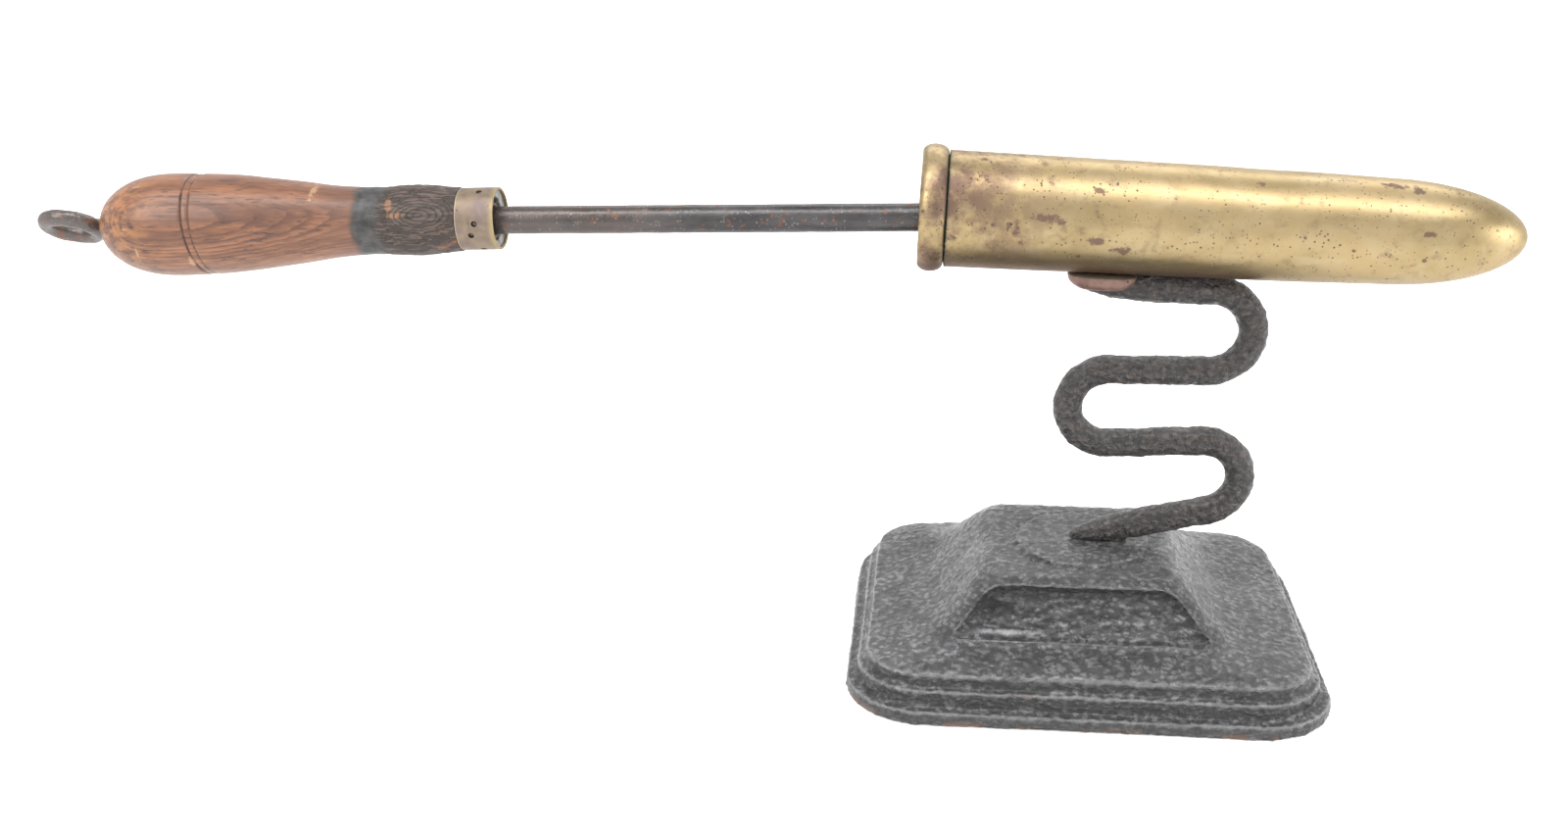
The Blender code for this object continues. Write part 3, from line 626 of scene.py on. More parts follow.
def makeBase():
    c = castBase
    low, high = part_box("base_casting")
    halfX, halfY = (high.x - low.x) / 2, (high.y - low.y) / 2
    piece = roundedPlate("cast_base", halfX, halfY, c["corner"], 0)
    height = 0.0
    for rise, stepIn in c["tiers"]:
        if stepIn:
            bpy.ops.mesh.inset(thickness=stepIn * mm - c["edge"], depth=0)
        extrude(0, 0, rise * mm - c["edge"])
        bpy.ops.mesh.inset(thickness=c["edge"], depth=c["edge"])
        height += rise * mm
        halfX -= stepIn * mm
        halfY -= stepIn * mm
    foot = height + c["footRise"]
    blockTop = foot + c["blockRise"]

    def blockRing(spread, ringHeight, inset=0.0):
        halves = [half + spread * c["blockSpread"] - inset for half in c["blockHalf"]]
        return (*halves, ringHeight, c["blockAt"])

    stack(
        [blockRing(spread, foot + rise * c["blockRise"]) for spread, rise in c["sweep"]],
        halfX - c["edge"], halfY - c["edge"], height,
    )
    closeUp(piece)

    wall, below = c["wall"], c["toolBelow"]
    hollow = roundedPlate("hollow_tool", halfX, halfY, c["corner"] * 0.7, below)
    stack([
        (halfX - wall, halfY - wall, height - wall, 0), blockRing(1, foot - wall, 2 * wall),
        blockRing(0, blockTop - wall, c["panelDepth"]),
    ], halfX, halfY, below)
    closeUp(hollow)
    carve(piece, hollow)
    carve(piece, panelTool("front_panel_tool", False))
    carve(piece, panelTool("back_panel_tool", True))

    bossMiddle = blockTop + c["bossRise"] - c["bossDepth"] / 2
    bpy.ops.mesh.primitive_cylinder_add(
        vertices=72, radius=c["bossRadius"], depth=c["bossDepth"], location=(0, 0, bossMiddle)
    )
    boss = named("boss")
    applied(location=True)
    deselect()
    outside, over, radius = c["groove"]
    bpy.ops.mesh.primitive_torus_add(
        major_segments=96, minor_segments=12, major_radius=c["bossRadius"] + outside, minor_radius=radius,
        location=(0, 0, blockTop + over),
    )
    carve(piece, named("groove_tool"))
    piece = unite([piece, boss], "cast_base")
    melt(piece, c["voxel"], 1)
    roughen(piece, "cast waves", 16 * mm, 0.9 * mm, keepInside=0.95)
    roughen(piece, "cast pebbles", 2.0 * mm, 0.5 * mm, 1, keepInside=0.8)
    setDown(piece, (baseMiddle.x, 0, 0))
    smoothed(piece)
    show(piece, "stand", "japanned_iron", baseIron, "base_casting")


makeBase()


# Serpentine stem

stem = {
    "radius": 4.3 * mm,
    "footAt": -4.3 * mm,  # the bar's lower point, from the middle of the base
    "footGap": 0.3 * mm,
    "bossTop": 32.6 * mm,
    "footAngle": 13.4,
    "runs": (41.0 * mm, 27.2 * mm, 27.5 * mm, 37.0 * mm),
    "bendRadii": (10.9 * mm, 11.1 * mm, 11.8 * mm),
    "bendTurns": (169.3, -182.2, 177.8),
    "point": 22.0 * mm,
    "runStep": 1.4 * mm,
    "bendSteps": 24,
    "pegRadius": 3.0 * mm,
    "pegLength": 20 * mm,
    "pegMiddle": (14.3 * mm, 26.7 * mm),  # from the bar's lower point, and above the ground
    "thinnest": 0.10,
    "voxel": 0.45 * mm,
}


def makeStem():
    c = stem
    heading = c["footAngle"]
    footX = baseMiddle.x + c["footAt"]
    place = Vector((footX, 0, c["bossTop"] + c["footGap"]))
    deselect()
    bpy.ops.mesh.primitive_circle_add(
        vertices=24, radius=c["radius"], location=place, rotation=(0, pi / 2 - radians(heading), 0)
    )
    piece = named("forged_stem")
    applied(location=True, rotation=True)
    editAll(piece)
    last = 1.0
    for index, run in enumerate(c["runs"]):
        steps = round(run / c["runStep"])
        ahead = Vector((cos(radians(heading)), 0, sin(radians(heading))))
        for step in range(steps + (index == 0)):
            if index == 0:
                fromEnd = run * step / steps
            elif index == len(c["bendRadii"]):
                fromEnd = run * (1 - (step + 1) / steps)
            else:
                fromEnd = c["point"]
            share = max(0.0, 1 - fromEnd / c["point"])
            radius = max(sqrt(1 - share ** 2), c["thinnest"])
            if index > 0 or step > 0:
                extrude(*(ahead * run / steps))
                place = place + ahead * run / steps
            grow = radius / last
            rescale((grow, grow, grow), place)
            last = radius
        if index < len(c["bendRadii"]):
            turn = c["bendTurns"][index]
            side = 1 if turn > 0 else -1
            centre = place + Vector((-ahead.z, 0, ahead.x)) * side * c["bendRadii"][index]
            bpy.ops.mesh.spin(steps=c["bendSteps"], angle=radians(turn), center=centre, axis=(0, 1, 0))
            spin = Matrix.Rotation(radians(-turn), 3, "Y")
            place = centre + spin @ (place - centre)
            heading += turn
    bpy.ops.mesh.select_all(action="DESELECT")
    bpy.ops.object.mode_set(mode="OBJECT")
    pick(piece, lambda co: False)
    bpy.ops.mesh.select_non_manifold()
    bpy.ops.mesh.fill_holes(sides=0)
    closeUp(piece, 60)

    along, height = c["pegMiddle"]
    bpy.ops.mesh.primitive_cylinder_add(
        vertices=28, radius=c["pegRadius"], depth=c["pegLength"], location=(footX + along, 0, height)
    )
    peg = named("peg")
    applied(location=True)
    piece = unite([piece, peg], "forged_stem")
    melt(piece, c["voxel"], 3)
    roughen(piece, "stem facets", 7 * mm, 0.8 * mm, keepInside=0.62)
    roughen(piece, "stem hammering", 2.1 * mm, 0.6 * mm, keepInside=0.6)
    smoothed(piece)
    show(piece, "stand", "japanned_iron", stemIron, "serpentine_stem")


makeStem()


# Brass of the barrel and its collar

brassLook = {
    "gold": colour(0.54, 0.405, 0.215),
    "olive": colour(0.415, 0.315, 0.160),
    "pale": colour(0.60, 0.485, 0.30),
    "tarnish": colour(0.165, 0.098, 0.088),
    "soot": colour(0.045, 0.034, 0.030),
    "verdigris": colour(0.040, 0.055, 0.036),
}
stains = (  # distance from the mouth, degrees up from the near side, half sizes along and round: mm
    (20.6, 0, 1.3, 1.2),
    (30.0, 8, 5.0, 2.0),
    (34.5, 4, 2.2, 1.4),
    (43.8, 38, 2.6, 1.4),
    (44.5, -12, 4.2, 1.8),
    (51.5, -22, 4.0, 1.8),
    (40.0, -32, 1.4, 1.2),
    (87.2, 58, 1.5, 1.9),
    (87.0, -58, 4.5, 1.5),
    (122.5, 70, 5.5, 1.6),
    (128.5, 66, 3.2, 2.2),
    (131.0, 12, 2.6, 1.0),
    (98.5, 2, 0.8, 0.8),
    (111.5, -10, 0.8, 0.8),
    (130.5, -18, 0.9, 0.9),
)


def barrelRadius(along):
    c = barrel
    noseStart = c["length"] - c["nose"]
    shoulder = noseStart - c["taper"]
    if along <= shoulder:
        return c["mouthRadius"] + along / shoulder * (c["shoulderRadius"] - c["mouthRadius"])
    if along <= noseStart:
        return c["shoulderRadius"] + (along - shoulder) / c["taper"] * (c["noseRadius"] - c["shoulderRadius"])
    share = min((along - noseStart) / c["nose"], 1.0)
    return c["noseRadius"] * sqrt(1 - share ** 2)


barrel = {
    "length": 160 * mm,
    "mouthRadius": 16.2 * mm,
    "shoulderRadius": 15.1 * mm,
    "taper": 26 * mm,
    "nose": 37 * mm,
    "noseRadius": 14.4 * mm,
    "wall": 2 * mm,
    "sides": 96,
    "start": 1.9 * mm,  # its back edge, sunk in the collar as far as the step
    "step": (3.7 * mm, 4.0 * mm, 1.4 * mm),  # where the step begins and ends, and its depth
    "dents": (  # mm from the mouth, degrees up, reach and depth in mm
        (92, 75, 16, 0.30), (128, 55, 14, 0.28), (46, -30, 18, 0.30), (70, 20, 22, 0.25),
    ),
}
collar = {"half": 3.7, "crown": 15.55, "bulge": 2.2, "bore": 14.2, "seatRadius": 15.1, "seat": 1.5}  # mm


def agedBrass(name, onBarrel):
    material, shader, place = startMaterial(name)
    local = axisPlace(place, mouth, tilt["barrel"])
    along, _, up = split(local)[0:3]
    clouds = noise(stretched(local, (0.5, 1, 1)), 55.0, 6.0, 0.6, 0.6)
    # tarnish: a broken film, a veil near the mouth, a shade underneath, and single stains
    nearMouth = between(along, 62 * mm, 6 * mm)
    dull = times(blotch(local, 240.0, 0.22, 0.12), plus(times(nearMouth, 0.75), 0.34))
    veil = times(between(along, 48 * mm, 2 * mm), between(noise(local, 90.0, 7.0, 0.7), 0.36, 0.6))
    dull = larger(dull, times(veil, 0.85))
    shade = times(between(up, -8 * mm, -14.5 * mm), between(along, 120 * mm, 70 * mm, 0.15, 0.9))
    dull = larger(dull, times(shade, between(clouds, 0.25, 0.6, 0.5, 1.0)))
    if onBarrel:
        for mark in stainedRound(local, stains, barrelRadius, 1.0):
            dull = larger(dull, times(mark, 0.8))
    finePits = times(speck(local, 950.0, 0.5, 0.27), between(noise(local, 60.0, 3.0), 0.35, 0.62, 0.25, 1.0))
    pits = times(larger(speck(local, 420.0, 0.05, 0.13), finePits), 0.85)
    lines = use(scratches, {"Vector": local, "Fine": 1500.0, "Stretch": 10.0, "Share": 0.5})["Mask"]
    seam = between(along, 4.6 * mm, 3.9 * mm) if onBarrel else between(along, 3.2 * mm, 3.7 * mm)
    crust = times(seam, between(noise(local, 500.0, 4.0), 0.25, 0.5))
    rubbed = blotch(stretched(local, (0.6, 1, 1)), 130.0, 0.35, 0.14)
    tone = layered(
        mixed(between(clouds, 0.3, 0.7), brassLook["olive"], brassLook["gold"]),
        (rubbed, 0.45, brassLook["pale"]), (dull, 1.0, brassLook["tarnish"]), (pits, 1.0, brassLook["soot"]),
        (lines, 1.0, brassLook["pale"]), (crust, 1.0, brassLook["verdigris"]),
    )
    crusted = larger(pits, crust)
    rough = plus(plus(between(clouds, 0.3, 0.7, 0.33, 0.42), times(dull, 0.18)), times(crusted, 0.25))
    relief = minus(minus(times(noise(local, 700.0, 4.0), 0.12), pits), times(lines, 0.3))
    waves = bumped(noise(stretched(local, (0.4, 1, 1)), 75.0, 2.0), 0.5 * mm, 0.35)
    feed(shader, {
        "Base Color": tone, "Roughness": rough, "Metallic": minus(1.0, times(crusted, 0.7), clamp=True),
        "Specular IOR Level": 0.5, "Normal": bumped(relief, 0.12 * mm, 0.5, waves),
    })
    return material


barrelBrass = agedBrass("barrel_brass", True)
collarBrass = agedBrass("collar_brass", False)


# Barrel and collar

def makeBarrel():
    c = barrel
    noseStart = c["length"] - c["nose"]
    start = c["start"]
    stepStart, stepEnd, stepDeep = c["step"]
    stations = [start + (noseStart - start) * i / 26 for i in range(27)]
    stations += [noseStart + c["nose"] * sin(pi / 2 * i / 22) for i in range(1, 23)]
    outside = [(along, barrelRadius(along)) for along in stations]
    outside[0:1] = [
        (start, barrelRadius(start) - stepDeep), (stepStart, barrelRadius(start) - stepDeep),
        (stepEnd, barrelRadius(stepEnd)),
    ]
    inside = []
    for along in stations[::-2]:
        share = max(along - noseStart, 0.0) / c["nose"]
        radius = barrelRadius(along) - c["wall"]
        if radius > c["wall"]:
            inside.append((along - share * c["wall"], radius))
    outline = outside + [(c["length"] - c["wall"], 0.0)] + inside
    outline += [(start, barrelRadius(start) - c["wall"]), outside[0]]
    piece = turned("brass_barrel", outline, c["sides"])
    for distance, up, size, depth in c["dents"]:
        radius = barrelRadius(distance * mm)
        centre = Vector((distance * mm, -radius * cos(radians(up)), radius * sin(radians(up))))
        nearest = min((point.co - centre).length for point in piece.data.vertices)
        pick(piece, lambda co: (co - centre).length < nearest + 0.6 * mm)
        inwards = Vector((0, cos(radians(up)), -sin(radians(up)))) * depth * mm
        bpy.ops.transform.translate(
            value=inwards, use_proportional_edit=True, proportional_edit_falloff="SMOOTH", proportional_size=size * mm
        )
    closeUp(piece)
    settle(piece, mouth, "barrel", "stand", "aged_brass", barrelBrass, "barrel")

    c = collar
    bead = [(c["half"] * cos(pi * i / 14), c["crown"] + c["bulge"] * sin(pi * i / 14)) for i in range(15)]
    lip = [
        (-3.7, 14.9), (-3.3, 14.3), (-2.6, c["bore"]), (c["seat"], c["bore"]), (c["seat"], c["seatRadius"]),
        (c["half"], c["seatRadius"]),
    ]
    outline = [(along * mm, radius * mm) for along, radius in bead + lip + bead[:1]]
    piece = turned("mouth_bead", outline, barrel["sides"])
    roughen(piece, "collar waves", 9 * mm, 0.35 * mm, keepInside=0.9)
    closeUp(piece, 50)
    settle(piece, mouth, "barrel", "stand", "aged_brass", collarBrass, "mouth_collar")


makeBarrel()


# Lug under the barrel

def copperBrown():
    material, shader, place = startMaterial("lug_copper")
    local = axisPlace(place, mouth, tilt["barrel"])
    clouds = noise(local, 260.0, 5.0)
    joint = between(split(local)[2], -16.4 * mm, -16.1 * mm)
    tone = layered(
        mixed(between(clouds, 0.3, 0.7), colour(0.20, 0.118, 0.096), colour(0.32, 0.195, 0.160)),
        (edgesForWearAndHighlight(place, 0.53, 0.62, 0.6), 1.0, colour(0.30, 0.105, 0.075)),
        (joint, 0.7, brassLook["verdigris"]), (speck(place, 900.0, 0.2, 0.3), 1.0, brassLook["soot"]),
    )
    feed(shader, {
        "Base Color": tone, "Roughness": between(clouds, 0.3, 0.7, 0.36, 0.52), "Metallic": 0.5,
        "Normal": bumped(noise(place, 900.0, 4.0), 0.12 * mm, 0.6),
    })
    return material


lug = {
    "station": 47 * mm,  # from the mouth
    "hangs": 4.8 * mm,
    "bites": 1.0 * mm,
    "rings": ((0.3, 1.0, 1.0), (0.55, 0.97, 0.98), (0.78, 0.86, 0.9), (0.93, 0.7, 0.76), (1.0, 0.55, 0.6)),
}


def makeLug():
    low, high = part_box("barrel_lug")
    half = (high.x - low.x) / 2
    width = (high.y - low.y) / 2
    radius = barrelRadius(lug["station"])
    bottom = -(radius + lug["hangs"])
    top = -(radius - lug["bites"])
    piece = roundedPlate("copper_lug", half, width, 0.85 * width, top)
    rings = [(half * long, width * wide, top + (bottom - top) * deep, 0) for deep, long, wide in lug["rings"]]
    stack(rings, half, width, top)
    closeUp(piece, 35)
    modify(piece, "SUBSURF", levels=1, render_levels=1)
    roughen(piece, "lug dents", 4 * mm, 0.5 * mm, keepInside=0.8)
    along = dipped(tilt["barrel"])
    middle = mouth + along * (middleOf("barrel_lug") - mouth).dot(along)
    settle(piece, middle, "barrel", "stand", "copper_brown", copperBrown(), "barrel_lug")


makeLug()


# Dark steel of the rod, the eye and the small fittings

steelLook = {
    "dark": colour(0.030, 0.030, 0.034),
    "grey": colour(0.110, 0.108, 0.112),
    "violet": colour(0.118, 0.095, 0.086),
    "rust": colour(0.250, 0.095, 0.040),
    "light": colour(0.36, 0.34, 0.33),
}


def darkSteel(name, rustCover, brightness, ringed, metallic=0.85):
    material, shader, place = startMaterial(name)
    local = axisPlace(place, crossing, tilt["heater"])
    long = stretched(local, (0.35, 1, 1))
    clouds = noise(long, 160.0, 6.0, 0.6)
    towardsHandle = between(split(local)[0], -105 * mm, -140 * mm)
    violet = times(blotch(long, 190.0, 0.75, 0.2), plus(times(towardsHandle, 0.75), 0.15))
    rusty = blotch(place, 420.0, rustCover, 0.08)
    tone = layered(
        mixed(between(clouds, 0.32, 0.68), steelLook["dark"], steelLook["grey"]),
        (violet, 1.0, steelLook["violet"]), (rusty, 1.0, steelLook["rust"]),
        (speck(place, 1300.0, 0.3, 0.35), 0.4, steelLook["light"]), (1.0, brightness, steelLook["light"]),
    )
    rings = noise(stretched(local, (1.0, 0.02, 0.02)), 2600.0, 2.0)
    height = plus(times(noise(place, 1100.0, 4.0), 0.8), times(rings, ringed))
    feed(shader, {
        "Base Color": tone, "Metallic": metallic,
        "Roughness": plus(between(clouds, 0.3, 0.7, 0.27, 0.38), times(rusty, 0.3)),
        "Normal": bumped(height, 0.16 * mm, 0.7),
    })
    return material


rodSteel = darkSteel("rod_steel", 0.16, 0.09, 0.5)
eyeSteel = darkSteel("eye_iron", 0.24, 0.17, 0.0, 0.5)
fittingSteel = darkSteel("fitting_steel", 0.25, 0.05, 0.0)


rod = {"front": -18, "back": -171.3, "radius": 3.97, "tang": 3.0, "tangEnd": -243, "edge": 0.3, "steps": 60}  # mm
bush = {"back": -171.4 * mm, "front": -169.95 * mm, "bore": 4.2 * mm}


def makeRod():
    c = rod
    start, length = c["back"] + c["edge"], c["front"] - c["back"] - 2 * c["edge"]
    outline = [
        (c["tangEnd"], 0.0), (c["tangEnd"], c["tang"] / 2), (c["tangEnd"] + 12, c["tang"]),
        (c["back"] - 0.2, c["tang"]), (c["back"], c["radius"] - 0.15),
    ]
    outline += [(start + length * i / c["steps"], c["radius"]) for i in range(c["steps"] + 1)]
    outline += [(c["front"], c["radius"] - c["edge"]), (c["front"], 0.0)]
    piece = turned("steel_rod", [(along * mm, radius * mm) for along, radius in outline], 48)
    roughen(piece, "rod wear", 5 * mm, 0.22 * mm, 3, keepInside=0.55)
    settle(piece, crossing, "heater", "heater", "dark_steel", rodSteel, "heater_rod")

    low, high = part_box("rod_bush")
    outer = (high.y - low.y) / 2
    back, front, bore = bush["back"], bush["front"], bush["bore"]
    piece = turned("rod_ring", [
        (back, bore), (front - 0.2 * mm, bore), (front, bore + 0.2 * mm), (front, outer - 0.3 * mm),
        (front - 0.3 * mm, outer), (back, outer), (back, bore),
    ], 64)
    settle(piece, crossing, "heater", "heater", "dark_steel", fittingSteel, "rod_bush")


makeRod()


# Slug in the barrel

def burntIron():
    material, shader, place = startMaterial("burnt_iron")
    scale = blotch(place, 260.0, 0.45, 0.06)
    rust = blotch(place, 480.0, 0.25, 0.08)
    tone = mixed(scale, colour(0.045, 0.038, 0.036), colour(0.105, 0.078, 0.064))
    feed(shader, {
        "Base Color": mixed(rust, tone, colour(0.20, 0.085, 0.042)),
        "Roughness": between(rust, 0.0, 1.0, 0.55, 0.8), "Metallic": 0.5,
        "Normal": bumped(plus(scale, times(noise(place, 900.0, 5.0), 0.8)), 0.2 * mm, 0.7),
    })
    return material


slug = {
    "middle": 45 * mm, "half": 42 * mm, "chamfer": 2 * mm, "wall": 2.3 * mm, "socket": 4.4 * mm, "socketDeep": 12 * mm,
}


def slugRadius(along):
    # as thick as the bore lets it be, leaning in the barrel
    lean = radians(tilt["barrel"] - tilt["heater"])
    return barrelRadius(slug["middle"] + along * cos(lean)) - slug["wall"] - abs(along) * sin(lean) - 0.05 * mm


def makeSlug():
    c = slug
    back, front, chamfer = -c["half"], c["half"], c["chamfer"]
    backRadius, frontRadius = slugRadius(back), slugRadius(front)
    outline = [
        (back + c["socketDeep"], 0.0), (back + c["socketDeep"], c["socket"]), (back, c["socket"]),
        (back, backRadius - chamfer), (back + 0.4 * mm, backRadius - 1.2 * mm),
    ]
    outline += [
        (back + chamfer + (front - back - 2 * chamfer) * i / 24, backRadius + (frontRadius - backRadius) * i / 24)
        for i in range(25)
    ]
    outline += [(front, frontRadius - chamfer), (front, 0.0)]
    piece = turned("iron_slug", outline, 72)
    roughen(piece, "fire scale", 4 * mm, 0.35 * mm, 4, keepInside=0.95)
    settle(piece, crossing, "heater", "heater", "burnt_iron", burntIron(), "heater_slug")


makeSlug()


# Ferrule, its ring and its tacks

ferrule = {
    "length": 11.2 * mm,
    "radius": 8.9 * mm,
    "wall": 0.7 * mm,
    "tacks": ((3.2, 5.8), (-19.3, 4.5), (71.7, 6.4), (-62.0, 6.5)),  # degrees up, mm from the back
    "tackHole": 0.85 * mm,
    "tackHead": 0.72 * mm,
    "tackShank": 1.2 * mm,
    "sunk": 0.65 * mm,
    "edge": 0.18 * mm,
    "linerBore": 6.1 * mm,
}


def tarnishedBrass():
    material, shader, place = startMaterial("ferrule_brass")
    local = axisPlace(place, ferruleMiddle, tilt["handle"])
    along = split(local)[0]
    clouds = noise(local, 190.0, 5.0, 0.6, 0.8)
    rim = times(between(along, 3.6 * mm, 5.5 * mm), between(noise(local, 260.0, 3.0), 0.3, 0.6, 0.45, 1.0))
    marks = speck(place, 900.0, 0.08, 0.2)
    tone = layered(
        mixed(between(clouds, 0.3, 0.7), colour(0.23, 0.175, 0.130), colour(0.34, 0.260, 0.185)),
        (blotch(local, 150.0, 0.42, 0.12), 0.85, colour(0.215, 0.165, 0.165)),
        (rim, 1.0, colour(0.43, 0.335, 0.180)),
        (between(along, -5.1 * mm, -5.45 * mm), 1.0, colour(0.62, 0.52, 0.36)),
        (marks, 0.7, colour(0.07, 0.05, 0.045)),
    )
    feed(shader, {
        "Base Color": tone, "Metallic": 0.7, "Roughness": between(clouds, 0.3, 0.7, 0.42, 0.55),
        "Normal": bumped(minus(noise(local, 480.0, 4.0), times(marks, 0.5)), 0.2 * mm, 0.5),
    })
    return material


def tinnedSteel():
    material, shader, place = startMaterial("tinned_ring")
    clouds = noise(place, 420.0, 5.0)
    tone = mixed(between(clouds, 0.3, 0.7), colour(0.34, 0.34, 0.33), colour(0.62, 0.62, 0.60))
    feed(shader, {
        "Base Color": mixed(blotch(place, 500.0, 0.25, 0.12), tone, colour(0.10, 0.09, 0.08)),
        "Metallic": 0.8, "Roughness": between(clouds, 0.3, 0.7, 0.42, 0.6), "Normal": bumped(clouds, 0.2 * mm, 0.6),
    })
    return material


def drillTack(piece, number, up, fromBack):
    # sinks a hole in the ferrule and puts a tack's head in it
    c = ferrule
    out = Vector((0, -cos(radians(up)), sin(radians(up))))
    spot = Vector((-c["length"] / 2 + fromBack * mm, 0, 0))
    turn = out.to_track_quat("Z", "Y").to_euler()
    deselect()
    bpy.ops.mesh.primitive_cylinder_add(vertices=24, radius=c["tackHole"], depth=3 * mm)
    hole = named("tack_hole")
    hole.location = spot + out * c["radius"]
    hole.rotation_euler = turn
    carve(piece, hole)
    deselect()
    bpy.ops.mesh.primitive_uv_sphere_add(segments=24, ring_count=14, radius=c["tackHead"])
    tack = named(f"tack_{number}")
    editAll(tack)
    rescale((1, 1, 0.5))
    pick(tack, lambda co: co.z < -0.1 * mm)
    extrude(0, 0, -c["tackShank"])
    rescale((0.5, 0.5, 1), (0, 0, -c["tackShank"]))
    closeUp(tack, 50)
    roughen(tack, f"tack {number}", 0.6 * mm, 0.12 * mm)
    hold(tack)
    tack.location = spot + out * (c["radius"] - c["sunk"])
    tack.rotation_euler = turn
    applied(location=True, rotation=True)
    settle(tack, ferruleMiddle, "handle", "heater", "dark_steel", fittingSteel, f"ferrule_tack_{number}")


def makeFerrule():
    c = ferrule
    half, outer, inner, edge = c["length"] / 2, c["radius"], c["radius"] - c["wall"], c["edge"]
    outline = [(-half, inner), (-half, outer - edge)]
    outline += [(-half + edge + (c["length"] - 2 * edge) * i / 20, outer) for i in range(21)]
    outline += [
        (half, outer - edge), (half, inner + edge), (half - edge, inner), (half - 3.4 * mm, inner), (-half, inner),
    ]
    piece = turned("brass_ferrule", outline, 96)
    for number, (up, fromBack) in enumerate(c["tacks"], 1):
        drillTack(piece, number, up, fromBack)
    closeUp(piece, 35)
    settle(piece, ferruleMiddle, "handle", "heater", "tarnished_brass", tarnishedBrass(), "ferrule")

    reach = inner - 0.02 * mm
    back, front, bore = half - 3.3 * mm, half - 1.2 * mm, c["linerBore"]
    piece = turned("ferrule_ring", [
        (back, bore), (front - 0.5 * mm, bore), (front - 0.15 * mm, bore + 0.15 * mm), (front, bore + 0.5 * mm),
        (front, reach - 0.4 * mm), (front + 0.25 * mm, reach), (back, reach), (back, bore),
    ], 96)
    roughen(piece, "ring dents", 2 * mm, 0.12 * mm)
    settle(piece, ferruleMiddle, "handle", "heater", "tinned_steel", tinnedSteel(), "ferrule_liner")


makeFerrule()


# Turned handle

handle = {
    "cap": 23 * mm,
    "fullness": 2.2,
    "outline": (  # distance from the butt, radius: mm
        (23.0, 14.9), (41.0, 14.2), (59.0, 12.1), (71.0, 10.45), (81.0, 9.8), (94.5, 10.3), (102.0, 9.85), (108.2, 9.1),
    ),
    "scribed": (30.8, 33.0),  # the two scribed lines, mm from the butt
    "scribeLean": 6.0,
    "scribeDeep": 0.30 * mm,
    "spigot": 7.9 * mm,
    "woodEnd": 116.1 * mm,
    "charStart": 78 * mm,
    "charFull": (8 * mm, 3 * mm),  # how far from its start and from the ferrule it's as deep as it gets
    "scribeHalf": 0.6 * mm,
    "bandDeep": 0.12 * mm,
    "leanFades": 9 * mm,
    "fineReach": 1.4 * mm,
    "step": 0.45 * mm,
}


woodLook = {
    "deep": colour(0.155, 0.064, 0.034),
    "light": colour(0.420, 0.185, 0.092),
    "film": colour(0.130, 0.066, 0.049),
    "layers": colour(0.100, 0.044, 0.031),
    "fibres": colour(0.115, 0.052, 0.034),
    "pores": colour(0.055, 0.030, 0.026),
    "rubbed": colour(0.50, 0.225, 0.080),
    "paleMark": colour(0.60, 0.40, 0.22),
    "dirt": colour(0.050, 0.026, 0.020),
    "warmed": colour(0.16, 0.075, 0.050),
    "cracks": colour(0.012, 0.010, 0.010),
    "charred": (colour(0.030, 0.029, 0.029), colour(0.092, 0.088, 0.086)),
    "burnt": (colour(0.042, 0.031, 0.026), colour(0.135, 0.098, 0.080)),
    "glow": colour(0.30, 0.125, 0.060),
    "amber": colour(0.33, 0.17, 0.085),
    # marks: mm from the butt, degrees up from the near side, half sizes along and round in mm
    "scuffs": ((13, 8, 2.6, 0.5), (15.5, -22, 0.6, 4.0), (66.8, 66, 1.3, 4.2), (31, -34, 1.0, 2.6), (16, 62, 5.0, 0.5)),
    "hooks": ((89.4, 40, 1.4, 4.2), (92.0, 20, 3.4, 1.3)),
    "knot": (98.5 * mm, -9.6 * mm, 3.6 * mm),
    "knotReach": (6.4 * mm, 4.4 * mm),
    "knotRing": 0.95 * mm,
    "layer": 0.85 * mm,
}


